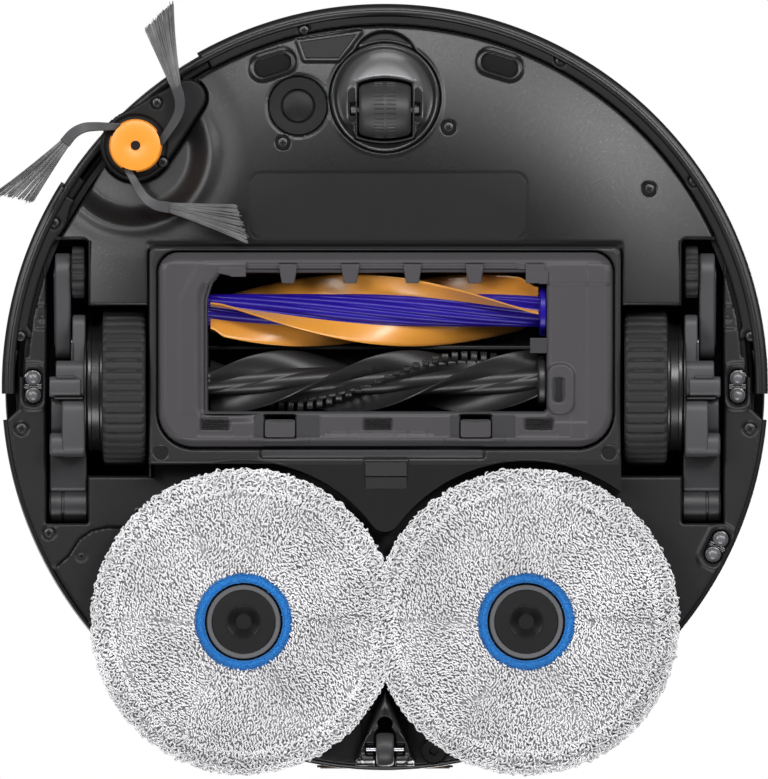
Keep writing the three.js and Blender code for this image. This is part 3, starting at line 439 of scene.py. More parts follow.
def ribbon(name, body, look, paths, radius, sides, taper):
    """Thin strands along the paths, as one mesh. Their radius is multiplied by taper along the way."""
    vertices, faces = [], []
    for path in paths:
        path = np.asarray(path, float)
        tangents = np.gradient(path, axis=0)
        tangents /= np.linalg.norm(tangents, axis=1, keepdims=True) + 1e-9
        up = np.array([0.0, 0.0, 1.0]) if abs(tangents[0][2]) < 0.9 else np.array([1.0, 0.0, 0.0])
        base, last = len(vertices), len(path) - 1
        for k, (point, tangent) in enumerate(zip(path, tangents)):
            side = np.cross(tangent, up)
            side /= np.linalg.norm(side) + 1e-9
            other = np.cross(side, tangent)
            r = radius * (1 + (taper - 1) * k / last)
            for m in range(sides):
                a = 2 * math.pi * m / sides
                vertices.append(point + r * (math.cos(a) * side + math.sin(a) * other))
        faces += hoops(len(path), sides, base)
        faces.append(tuple(base + m for m in range(sides))[::-1])
        faces.append(tuple(base + last * sides + m for m in range(sides)))
    return piece(name, body, look, vertices, faces)


def screw(name, body, x, y, z, r=2.6, turn=20, seat=None):
    """A pan-head screw with a cross recess drawn as a black cross of painted shade, its head facing down at
    height z. A seat is the height of the surface round it, for a ring of painted shade in the gap."""
    c, s = math.cos(math.radians(turn)), math.sin(math.radians(turn))
    arm, half = r * 0.52, 0.36
    cross = [(half, half), (half, arm), (-half, arm), (-half, half), (-arm, half), (-arm, -half),
             (-half, -half), (-half, -arm), (half, -arm), (half, -half), (arm, -half), (arm, half)]
    cross = [(x + u * c - v * s, y + u * s + v * c) for u, v in cross]
    # the cross recess: a black cross of painted shade
    prism(f"{name}_recess", body, "black_window_and_shade", cross, z - 0.04, z + 0.8, edge=0)

    def extent(margin):
        return (x - r - margin, x + r + margin, y - r - margin, y + r + margin)

    # the ring round the head: painted shade in the gap
    if seat:
        relief(f"{name}_gap", body, "black_window_and_shade", extent(1.2), 0.14,
               lambda X, Y: np.abs(circle(X, Y, x, y, r + 0.42)) - 0.36, seat, fillet=0.08, wall=0.9)
    relief(name, body, "screw", extent(0.6), 0.14, lambda X, Y: circle(X, Y, x, y, r),
           lambda X, Y: z + 0.35 * (np.hypot(X - x, Y - y) / r) ** 2, fillet=0.45, wall=2.0)


def repaint(node, look, edge=0.4, sharp=30):
    """A CAD node that keeps its shape gets soft edges and a finish."""
    obj = NODES[node]
    obj.data.materials.clear()
    obj.data.materials.append(LOOK[look])
    soften(obj.data, sharp)
    if edge:
        bevel(obj, edge, 2, 40)


def screw_seat(X, Y, x, y, r=3.2):
    """Depth of the counterbore round a screw."""
    return 1.4 * step(circle(X, Y, x, y, r), 0.25)


def flat(z):
    """A height that is z all over."""
    return lambda X, Y: np.full(X.shape, float(z))


# ---- Front bottom cover ----

COVER_SCREWS = [(46.5, 111.3), (-29.0, 118.3), (-120.5, 90.3)]
CLIFF_WINDOWS = [(51.2, 146.9, 17), (-52.3, 146.9, -17)]
CARPET = (39.6, 128.1)
DOCK_WINDOW = [(39.5, 158.0), (11.5, 162.0), (20.8, 149.5), (36.6, 149.5)]


def dome(X, Y):
    share = np.clip((np.hypot(X, Y) - 98) / 66.5, 0, None)
    return 9 + 10.5 * share**1.8


def front_cover():
    hx, hy = SIDE_HUB

    def shape(X, Y):
        body = np.maximum(circle(X, Y, 0, 0, 164.6), 37.3 - Y)
        body = np.maximum(body, -rbox(X, Y, -107.8, 107.8, -60, 63.8, 4))
        for side in (1, -1):
            leg = rbox(side * X, Y, 134.9, 230, -60, 67.6, 3.2)
            body = np.maximum(body, -leg)
        bay = poly(X, Y, [(148.5, 67), (128.5, 101), (99, 126), (88.5, 140), (111, 170), (185, 120), (185, 67)])
        body = np.maximum(body, -bay)
        body = np.maximum(body, -link(X, Y, 90, 132, 9.0, hx, hy, 16.5))
        body = np.maximum(body, -circle(X, Y, 0, CASTER_Y, 25.0))
        body = np.maximum(body, -circle(X, Y, *CARPET, 13.5))
        for x, y, turn in CLIFF_WINDOWS:
            body = np.maximum(body, -rbox(X, Y, x - 8.2, x + 8.2, y - 3.6, y + 3.6, 3.5, -turn))
        return body

    def height(X, Y):
        Z = dome(X, Y)
        d = np.hypot(X - hx, Y - hy)
        turn = np.arctan2(Y - hy, X - hx)
        inner = 30 + 2.5 * np.cos(turn + 1.2)
        Z = Z + 5.2 * ease((inner + 5 - d) / 11)
        Z = Z + 1.5 * ease((52 - d) / 22)
        Z = Z - 0.9 * np.exp(-((d - inner - 5.5) / 3.2) ** 2) * step(Y - 118, 12)
        crescent = np.maximum(circle(X, Y, 0, 146.5, 15.5), -circle(X, Y, 0, CASTER_Y, 24.4))
        Z = Z + 2.2 * step(crescent, 0.7)
        Z = Z - 0.5 * np.exp(-((np.hypot(X, Y - CASTER_Y) - 25.9) / 0.8) ** 2)
        for x, y, turn in CLIFF_WINDOWS:
            Z = Z + 1.6 * step(rbox(X, Y, x - 10.9, x + 10.9, y - 6, y + 6, 5.9, -turn), 1.0)
        Z = Z + 1.3 * step(poly(X, Y, DOCK_WINDOW, 1.2), 0.6)
        Z = Z + 0.12 * step(rbox(X, Y, -65, 62, 67, 98, 5.5), 0.35)
        for x, y in COVER_SCREWS:
            Z = Z + screw_seat(X, Y, x, y)
        Z = Z + 0.35 * step(np.abs(circle(X, Y, *CARPET, 14.4)) - 0.3, 0.3)
        # a soft turned-up lip where the cover meets the wheel and brush bays
        Z = Z + 0.5 * ease((67 - Y) / 2.5) * step(np.abs(X) - 108, 1)
        return Z

    tag(relief("front_cover", "body", "cover", (-166, 166, 36, 166), 0.62, shape, height, 0.9, 2.6, 7),
        "cover_plastic", "bottom_cover")
    for i, (x, y) in enumerate(COVER_SCREWS):
        screw(f"cover_screw_{i + 1}", "body", x, y, float(dome(np.array(x), np.array(y))) + 0.35, 2.45,
            turn=30 * i, seat=lambda X, Y: dome(X, Y) - 0.03)
    for i, (x, y, turn) in enumerate(CLIFF_WINDOWS):
        side = ("right", "left")[i]
        z = float(dome(np.array(x), np.array(y))) + 3.4
        tag(relief(f"cliff_window_{side}", "body", "black_window_and_shade", (x - 14, x + 14, y - 10, y + 10), 0.5,
            lambda X, Y, x=x, y=y, turn=turn: rbox(X, Y, x - 9, x + 9, y - 4.6, y + 4.6, 4.4, -turn),
            lambda X, Y, z=z: np.full(X.shape, z), 0.4, 1.5), "smoke_plastic")
    relief("cover_label_panel", "body", "panel", (-66, 63, 66, 99), 0.6, lambda X, Y: rbox(X, Y, -64.4, 61.4,
        67.6, 97.4, 5.2), lambda X, Y: dome(X, Y) + 0.03, 0.05, 0.5)
    relief("dock_window", "body", "panel", (5, 46, 144, 167), 0.4, lambda X, Y: poly(X, Y, DOCK_WINDOW, -0.4),
        lambda X, Y: dome(X, Y) + 0.8, 0.4, 1.5)
    relief("caster_crescent", "body", "panel", (-18, 18, 130, 164), 0.4,
        lambda X, Y: np.maximum(circle(X, Y, 0, 146.5, 15.0), -circle(X, Y, 0, CASTER_Y, 26.2)),
        lambda X, Y: dome(X, Y) + 1.9, 0.4, 1.5)


def carpet_sensor():
    x, y = CARPET
    z = float(dome(np.array(x), np.array(y)))
    profile = [(0, z + 0.6), (6.4, z + 0.6), (6.8, z + 0.9), (6.9, z + 2.6), (7.7, z + 2.6), (7.8, z + 1.1),
        (8.0, z + 0.9), (12.9, z + 0.7), (13.2, z + 1.0), (13.3, z + 3), (13.3, z + 6), (0, z + 6)]
    tag(lathe("carpet_sensor_face", "body", "panel", profile, (x, y, 0), sharp=40), "hub_plastic",
        "carpet_sensor")


# ---- Side brush ----


BRISTLES = 170  # on each of the three arms


def side_brush():
    hx, hy = SIDE_HUB

    def height(X, Y):
        Z = 15.2 + 0.9 * step(circle(X, Y, hx, hy, 14.2), 0.5)
        return Z + screw_seat(X, Y, 104, 129.6, 2.9) + screw_seat(X, Y, 101.3, 102.6, 2.9)

    tag(relief("side_brush_plate", "side_arm", "panel", (72, 134, 90, 150), 0.5, lambda X, Y: link(X, Y, 90,
        132, 8.0, hx, hy, 15.8), height, 0.7, 4.5), "deck_plastic", "side_brush_arm")
    screw("side_plate_screw_1", "side_arm", 104, 129.6, 15.6, 2.2)
    screw("side_plate_screw_2", "side_arm", 101.3, 102.6, 15.6, 2.2, turn=55)
    prism("side_brush_pivot_post", "side_arm", "deck", arc(88.5, 133, 2.5, 0, 345, 24), 19, 33, edge=0.2)

    def notch(angles, along, r):
        if r < 11.5:
            return np.zeros(angles.shape)
        depth = np.zeros(angles.shape)
        for root in (163, 38, 285):
            off = np.degrees(np.angle(np.exp(1j * (angles - math.radians(root)))))
            depth += -1.5 * step(np.abs(off) - 15, 2.0)
        return depth * (1 if along > 8.4 else 0.8)

    profile = [(0, 9.4), (2.1, 9.3), (2.2, 7.9), (2.6, 7.6), (9.8, 7.6), (11.3, 8.1), (12.0, 9.2), (12.1, 11),
        (12.1, 14.4), (0, 14.4)]
    tag(lathe("side_brush_cap", "side_brush", "orange", profile, (hx, hy, 0), segments=180, sharp=38,
        radial=notch), "orange_plastic", "side_brush_hub")
    # the eye and the boss are in the inner black, painted shade in the hole at the hub
    lathe("side_brush_eye", "side_brush", "inner", [(0, 8.4), (2.15, 8.4), (2.15, 10)], (hx, hy, 0),
        segments=32)
    lathe("side_brush_boss", "side_brush", "inner", [(0, 10.5), (9.5, 10.5), (9.5, 15), (0, 15)], (hx, hy, 0),
        segments=48)

    # each arm: a rubber sleeve that bends down and away, then a fan of bristles
    rng = np.random.default_rng(4)
    sleeve_path = [(4.1, -9.0, 13.0), (3.2, -11.6, 12.6), (0.9, -15.6, 11.4), (-1.8, -20.2, 9.0),
        (-5.0, -24.4, 7.2), (-9.6, -27.2, 6.4), (-15.6, -28.3, 6.0)]
    for n, tip in enumerate((221.0, 105.0, -18.7)):
        turn = math.radians(tip - 221.0)
        c, s = math.cos(turn), math.sin(turn)

        def place(p):
            return (hx + p[0] * c - p[1] * s, hy + p[0] * s + p[1] * c, p[2])

        points = np.array([place(p) for p in sleeve_path])
        fine = smooth_path(points, 26)
        widths = np.interp(np.linspace(0, 1, 26), [0, 0.3, 0.7, 1], [3.4, 3.6, 4.6, 5.2])
        thick = np.interp(np.linspace(0, 1, 26), [0, 0.5, 1], [1.5, 1.8, 2.4])
        arm = strap(f"sweeper_sleeve_{n + 1}", "side_brush", "sleeve", fine, widths, thick)
        bevel(arm, 0.45, 2, 30)
        if n == 0:
            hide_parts("side_brush_sweeper")
        strands = []
        for _ in range(BRISTLES):
            u = rng.uniform(-1, 1)
            v = rng.uniform(-1, 1)
            start = np.array([-14.8, -28.2 + 2.1 * u, 6.0 + 0.8 * v])
            far = 0.5 + 0.5 * u
            end = np.array([-51.0 + 5.6 * far, -44.4 + 17.2 * far, 1.6 + 0.9 * v])
            end += rng.normal(0, [0.5, 0.25, 0.15])
            middle = start * 0.5 + end * 0.5 + np.array([0, 0.4 - 0.8 * u, 0.5]) + rng.normal(0, 0.16, 3)
            t = np.linspace(0, 1, 6)[:, None]
            curve = (1 - t) ** 2 * start + 2 * t * (1 - t) * middle + t**2 * end
            strands.append([place(p) for p in curve])
        tag(ribbon(f"sweeper_bristles_{n + 1}", "side_brush", "bristle", strands, 0.2, 4, 0.8), "bristle_nylon")


def smooth_path(points, count):
    """Points along a Catmull-Rom curve through the given ones."""
    points = np.asarray(points, float)
    padded = np.vstack([2 * points[0] - points[1], points, 2 * points[-1] - points[-2]])
    out = []
    for s in np.linspace(0, len(points) - 1, count):
        i = min(int(s), len(points) - 2)
        t = s - i
        p0, p1, p2, p3 = padded[i : i + 4]
        out.append(0.5 * (2 * p1 + (p2 - p0) * t + (2 * p0 - 5 * p1 + 4 * p2 - p3) * t**2
            + (3 * p1 - p0 - 3 * p2 + p3) * t**3))
    return np.array(out)


def strap(name, body, look, path, widths, thick):
    """A flat strap along a path, wide across it and level."""
    rows = []
    for point, tangent, width, depth in zip(path, np.gradient(path, axis=0), widths, thick):
        ahead = np.array([tangent[0], tangent[1], 0])
        ahead /= np.linalg.norm(ahead) + 1e-9
        across = np.array([-ahead[1], ahead[0], 0])
        rows.append([point + across * u * width / 2 + np.array([0, 0, v * depth / 2]) for u, v in ((-1, -1),
            (1, -1), (1, 1), (-1, 1))])
    return loft(name, body, look, rows, 40, (True, False))


front_cover()
carpet_sensor()
side_brush()


# ---- Bumper ----

FLANGE_SCREWS = [(37, 163), (-80, 149), (-141, 94), (151, 75), (166.4, 23.2), (-167.0, 23.2)]


def sector(X, Y, a0, a1):
    """Distance outside a wedge from angle a0 to a1 in degrees, about the body's centre."""
    middle, half = math.radians((a0 + a1) / 2), math.radians((a1 - a0) / 2)
    r = np.hypot(X, Y)
    off = np.abs(np.angle(np.exp(1j * (np.arctan2(Y, X) - middle))))
    return r * np.sin(np.clip(off - half, -math.pi / 2, math.pi / 2))


def bumper():
    wall = [(169.2, 79.0), (169.2, 23.0), (169.9, 22.1), (171.6, 22.0), (172.5, 22.6), (172.8, 24.0),
        (172.8, 26.6), (172.2, 27.2), (172.2, 42.6), (172.5, 44.0), (172.5, 77.0), (171.9, 78.6), (171.2, 79.0)]
    tag(ring_sweep("bumper_wall", "bumper", "wall", wall, -1, 181, sharp=50, per=0.6), "wall_plastic", "bumper")
    strip = [(172.4, 28.0), (173.4, 26.6), (174.4, 26.9), (175.0, 28.4), (175.2, 31), (175.2, 39.4),
        (174.9, 41.0), (174.0, 42.2), (172.4, 42.2)]
    for i, (a0, a1) in enumerate(((-0.8, 32.4), (60.6, 180.8))):
        band = ring_sweep(f"bumper_strip_{i + 1}", "bumper", "strip", strip, a0, a1, sharp=60, per=0.6)
        if i == 0:
            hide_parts("bumper_strip")
    low_lip = [(171.2, 24.5), (172.2, 21.9), (173.6, 22.2), (174.7, 23.6), (175.0, 25.2), (174.6, 26.0),
        (172.0, 26.2)]
    ring_sweep("bumper_lip_1", "bumper", "wall", low_lip, -1, 31.8, sharp=60, per=0.6)
    ring_sweep("bumper_lip_2", "bumper", "wall", low_lip, 61, 181, sharp=60, per=0.6)
    window = [(172.4, 50.6), (173.2, 50.0), (173.8, 51.0), (173.8, 69.0), (173.2, 70.0), (172.4, 69.4)]
    tag(ring_sweep("bumper_window_glass", "bumper", "glass", window, 66, 114, sharp=60), "smoke_plastic",
        "bumper_window")

    def shape(X, Y):
        r = np.hypot(X, Y)
        inner = 165.3 - 3.6 * step(np.abs(np.hypot(np.abs(X) - 151, Y - 75)) - 6, 5) * (X > 0)
        ring = np.maximum(inner - r, r - 172.4)
        ends = np.minimum(circle(X, Y, 166.4, 23.2, 5.4), circle(X, Y, -167.0, 23.2, 5.4))
        ring = np.minimum(ring, np.maximum(ends, r - 172.4))
        kept = np.minimum(sector(X, Y, 8.0, 31.0), sector(X, Y, 61.5, 172.2))
        return np.maximum(ring, kept)

    def height(X, Y):
        r = np.hypot(X, Y)
        Z = 23.2 + 0.35 * step(np.abs(r - 170.6) - 0.25, 0.3)
        for x, y in FLANGE_SCREWS:
            Z = Z + screw_seat(X, Y, x, y, 2.9)
        return Z

    tag(relief("bumper_flange", "bumper", "flange", (-174, 174, 14, 174), 0.6, shape, height, 0.6, 2.2, 6),
        "wall_plastic")
    for i, (x, y) in enumerate(FLANGE_SCREWS):
        screw(f"flange_screw_{i + 1}", "bumper", x, y, 23.7, 2.2, turn=25 * i)
    # the wall's tail behind the end screws, closed by a thin gusset
    for side, name in ((1, "right"), (-1, "left")):
        relief(f"bumper_tail_{name}", "bumper", "flange", (min(side * 160, side * 176),
            max(side * 160, side * 176), -6, 20), 0.5, lambda X, Y, side=side: poly(side * X, Y,
            [(172.4, 17), (167.6, 16.5), (169.4, 8), (170.2, -2.6), (172.6, -2.8)]), flat(23.4), 0.5, 3)
    # brackets across the side brush's bay, in the inner black of painted shade
    for i, (a0, a1) in enumerate(((30.8, 34.5), (56.5, 61.4))):
        relief(f"bay_bracket_{i + 1}", "bumper", "inner", (70, 160, 80, 160), 0.6, lambda X, Y, a0=a0,
            a1=a1: np.maximum(np.maximum(166.2 - np.hypot(X, Y), np.hypot(X, Y) - 172), sector(X, Y, a0, a1)),
            flat(24.6), 0.6, 3)


# ---- Rear deck, rim and lenses ----

DECK_SCREWS = [(166.0, -18.9, 3.2), (-166.6, -18.9, 3.2), (153.5, -66.6, 3.0)]
LENSES = [("right", 160.6, 0.2, 90.0), ("left", -161.0, 0.2, 90.0), ("rear", -151.5, -72.9, 116.6)]
ARM_PIVOT = (125.5, -77.0)
ARM_OUTLINE = [(119.4, -64.4), (126.9, -64.1), (133.8, -65.6), (139.5, -69.5), (144.3, -77.0), (152.6, -84.1),
    (136.2, -106.5), (100.0, -112.0), (96.0, -75.0)]


def rear_deck():
    def shape(X, Y):
        A = np.abs(X)
        d = np.maximum(circle(X, Y, 0, 0, 173.6), Y - 13.6)
        rail = np.maximum(np.maximum(154.9 - A, circle(X, Y, 0, 0, 163.4)), np.maximum(Y - 66.5, -Y))
        rail = np.minimum(rail, np.maximum(np.maximum(154.9 - A, A - 164.6), np.maximum(Y - 13.9, -Y)))
        d = np.where(Y > 5, rail, np.minimum(d, rail))
        d = np.maximum(d, -rbox(A, Y, 0, 107.6, -31.9, 90))
        d = np.maximum(d, -rbox(A, Y, 106, 154.9, -41.0, 90, 0.8))
        d = np.maximum(d, -rbox(A, Y, 135.3, 154.9, -62.4, -30, 1.2))
        notch = poly(A, Y, [(166.6, 40), (166.6, -9.6), (173.4, -15.8), (178, -15.8), (178, 40)])
        d = np.maximum(d, -notch)
        for _, x, y, turn in LENSES:
            d = np.maximum(d, -rbox(X, Y, x - 8.2, x + 8.2, y - 4.4, y + 4.4, 4.3, turn))
        d = np.maximum(d, -circle(X, Y, -MOP_X, MOP_Y, 8))
        swing = link(X, Y, MOP_X, MOP_Y, 8, 71.9, -117.1, 8.01)
        swing = np.minimum(swing, link(X, Y, 71.9, -117.1, 8, 78.2, -125.9, 8.01))
        return np.maximum(d, -swing)

    def height(X, Y):
        A = np.abs(X)
        r = np.hypot(X, Y)
        Z = 22.5 + 0.35 * step(np.abs(r - 171.9) - 0.2, 0.35) * (Y < -14)
        Z = Z + 0.9 * ease((r - 172.4) / 1.2)
        for _, x, y, turn in LENSES:
            bezel = rbox(X, Y, x - 11, x + 11, y - 6.7, y + 6.7, 5.0, turn)
            Z = Z - 0.9 * step(bezel, 0.6) + 1.0 * step(rbox(X, Y, x - 9.3, x + 9.3, y - 5.3, y + 5.3, 4.6,
                turn), 0.6)
        for x, y, size in DECK_SCREWS:
            Z = Z + screw_seat(X, Y, x, y, size)
        # the flange that steps down by the leg slots, and the small square catch on each rail
        Z = Z + 0.5 * step(rbox(A, Y, 150, 154.9, -64, 70, 0.4), 0.4)
        Z = Z + 1.2 * step(rbox(A, Y, 152, 159.6, 26.5, 37.0, 0.6), 0.5)
        Z = Z + 0.8 * step(circle(A, Y, 156.5, 31, 1.4), 0.3)
        Z = Z + 0.5 * step(np.maximum(A - 162.5, 38 - Y) , 0.4) * (Y < 68)
        arm = poly(X, Y, ARM_OUTLINE)
        return Z + 1.0 * step(arm - 0.5, 0.4)

    tag(relief("deck_underside", "body", "deck", (-174.4, 174.4, -174.4, 68), 0.68, shape, height, 0.7, 3.2, 6),
        "deck_plastic", "rear_deck")
    for i, (x, y, size) in enumerate(DECK_SCREWS):
        screw(f"deck_screw_{i + 1}", "body", x, y, 23.1, size - 0.7, turn=15 + 40 * i)

    rim = [(172.4, 79.4), (172.4, 23.4), (173.2, 22.4), (173.9, 22.4), (174.7, 23.3), (175.0, 24.6),
        (175.0, 74), (174.6, 78.6), (174.0, 79.4)]
    tag(ring_sweep("skirt_wall", "body", "wall", rim, 184.9, 355.1, sharp=50, per=0.6), "wall_plastic",
        "rear_skirt")
    for side, name in ((1, "right"), (-1, "left")):
        outline = rounded(side * 22 - 9.1, side * 22 + 9.1, 32.1, 39.9, 1.5, 5)
        tag(prism(f"contact_frame_{name}", "body", "trim", outline, -173.9, -173.0, "XZ", 0.2), "wall_plastic")

    def arm_shape(X, Y):
        arm = np.minimum(poly(X, Y, ARM_OUTLINE) + 0.2, link(X, Y, *ARM_PIVOT, 12.6, MOP_X, MOP_Y, 22))
        return np.maximum(arm, np.maximum(circle(X, Y, 0, 0, 171.6), -circle(X, Y, MOP_X, MOP_Y, 7)))

    tag(relief("mop_arm_cover", "right_mop_arm", "deck", (38, 156, -132, -60), 0.6, arm_shape, lambda X, Y: 21.4
        + 0.3 * step(circle(X, Y, 138.6, -77.0, 2.9), 0.3), 0.5, 0.55), "deck_plastic", "right_mop_arm")
    screw("mop_arm_screw", "right_mop_arm", 138.6, -77.0, 21.55, 1.7, turn=10)
    screw("deck_small_screw", "body", 113.0, -56.4, 22.3, 1.7, turn=40)
    post = arc(*ARM_PIVOT, 4, 0, 345, 24)
    prism("mop_arm_pivot", "right_mop_arm", "deck", post, 22.1, 34, edge=0.2)


def cliff_lenses():
    for name, x, y, turn in LENSES:
        c, s = math.cos(math.radians(turn)), math.sin(math.radians(turn))
        tag(relief(f"lens_bed_{name}", "body", "glass", (x - 12, x + 12, y - 12, y + 12), 0.4, lambda X, Y, x=x,
            y=y, turn=turn: rbox(X, Y, x - 8.0, x + 8.0, y - 4.2, y + 4.2, 4.1, turn), lambda X, Y, x=x, y=y,
            c=c, s=s: 24.2 - 0.9 * step(np.abs((X - x) * c + (Y - y) * s) - 0.35, 0.25), 0.3, 1.0),
            "lens_plastic", f"cliff_lens_{name}")
        for k, off in enumerate((3.9, -3.9)):
            cx, cy = x + off * c, y + off * s
            profile = [(0, 21.6), (0.9, 21.68), (1.8, 21.98), (2.5, 22.5), (2.95, 23.2), (3.05, 23.9),
                (3.4, 24.0), (3.5, 24.4), (0, 24.4)]
            tag(lathe(f"lens_dome_{name}_{k + 1}", "body", "lens", profile, (cx, cy, 0), segments=40, sharp=50),
                "lens_plastic")


# ---- Brush bay: trim, cover, latches ----


def trim():
    fillet = 11.5
    rise = math.sqrt((73.2 + fillet) ** 2 - MOP_X**2)
    touch = (MOP_X * fillet / (73.2 + fillet), MOP_Y + rise - rise * fillet / (73.2 + fillet))

    def shape(X, Y):
        d = np.maximum(np.abs(X) - 107.3, Y - 63.6)
        corner = rbox(X, Y, -107.3, 107.3, -200, 63.6, 3.5)
        d = np.maximum(d, corner)
        bites = np.maximum(-circle(X, Y, -MOP_X, MOP_Y, 73.2), -circle(X, Y, MOP_X, MOP_Y, 73.2))
        neck = np.maximum(np.abs(X) - touch[0], np.maximum(touch[1] - 0.4 - Y, Y + 30))
        tip = circle(X, Y, 0, MOP_Y + rise, fillet)
        below = np.minimum(tip, np.maximum(neck, bites))
        outside = np.maximum(bites, -Y + touch[1])
        skirt = np.minimum(outside, np.maximum(below, bites))
        d = np.maximum(d, np.where(np.abs(X) < touch[0], np.minimum(skirt, tip), skirt))
        d = np.maximum(d, np.where(X > MOP_X, -34.9 - Y, -1e9))
        return np.maximum(d, -rbox(X, Y, -104.4, 103.9, -28.5, 62.3, 9.6, 0, 17.0))

    def height(X, Y):
        Z = np.full(X.shape, 7.7)
        Z = Z + 0.5 * step(np.abs(rbox(X, Y, -106.3, 106.3, -32.6, 63.1, 4)) - 0.12, 0.25) * (Y > -29)
        for x in (102.0, -102.0):
            Z = Z + screw_seat(X, Y, x, -29.9, 3.0)
        bar = rbox(X, Y, -45.5, 57, -32.4, -27.0, 1.2)
        Z = Z + 1.1 * step(np.abs(bar) - 0.25, 0.3)
        Z = Z - 0.5 * step(bar + 0.6, 0.5)
        tab = rbox(X, Y, -10.6, 9.6, -46.9, -32.6, 0.8)
        Z = Z + 0.9 * step(np.abs(tab) - 0.15, 0.28)
        Z = Z + 0.9 * ease((-34.5 - Y) / 6) * ease((Y + 47) / 6.5) * step(tab + 0.6, 0.4)
        Z = Z - 0.8 * np.exp(-((Y + 40.6) / 0.7) ** 2) * step(tab + 0.6, 0.4)
        slope = ease((-33 - Y) / 3.0) * 0.35
        return Z + slope

    tag(relief("bay_trim", "body", "trim", (-108, 108, -80, 64.2), 0.55, shape, height, 0.8, 3.5, 6),
        "cover_plastic")
    screw("trim_screw_right", "body", 102.0, -29.9, 8.3, 2.3, turn=5)
    screw("trim_screw_left", "body", -102.0, -29.9, 8.3, 2.3, turn=-8)
    # the bar is in a lighter grey than the trim, a painted highlight for the light its rounded face catches
    tag(prism("trim_bar", "body", "gear_dark", [(-44.4, -31.4), (55.9, -31.4), (55.9, -28.6), (-44.4, -28.6)],
        6.9, 8.6, edge=0.6, segments=4), "cover_plastic")
    tag(prism("trim_tab", "body", "trim", [(-34.2, 7.3), (-40.4, 6.9), (-40.9, 7.9), (-41.2, 6.9), (-46.2, 8.0),
        (-46.2, 9.5), (-34.2, 9.5)], -9.9, 8.9, "YZ", edge=0.15, segments=2), "cover_plastic")
    # the brush housing is repainted in the inner black, painted shade inside the bay
    repaint("brush_housing", "inner", 0.3)


BRISTLE_PADS = [77.4, 3.4, -70.0]
LATCHES = [("right", 47.8), ("left", -41.3)]


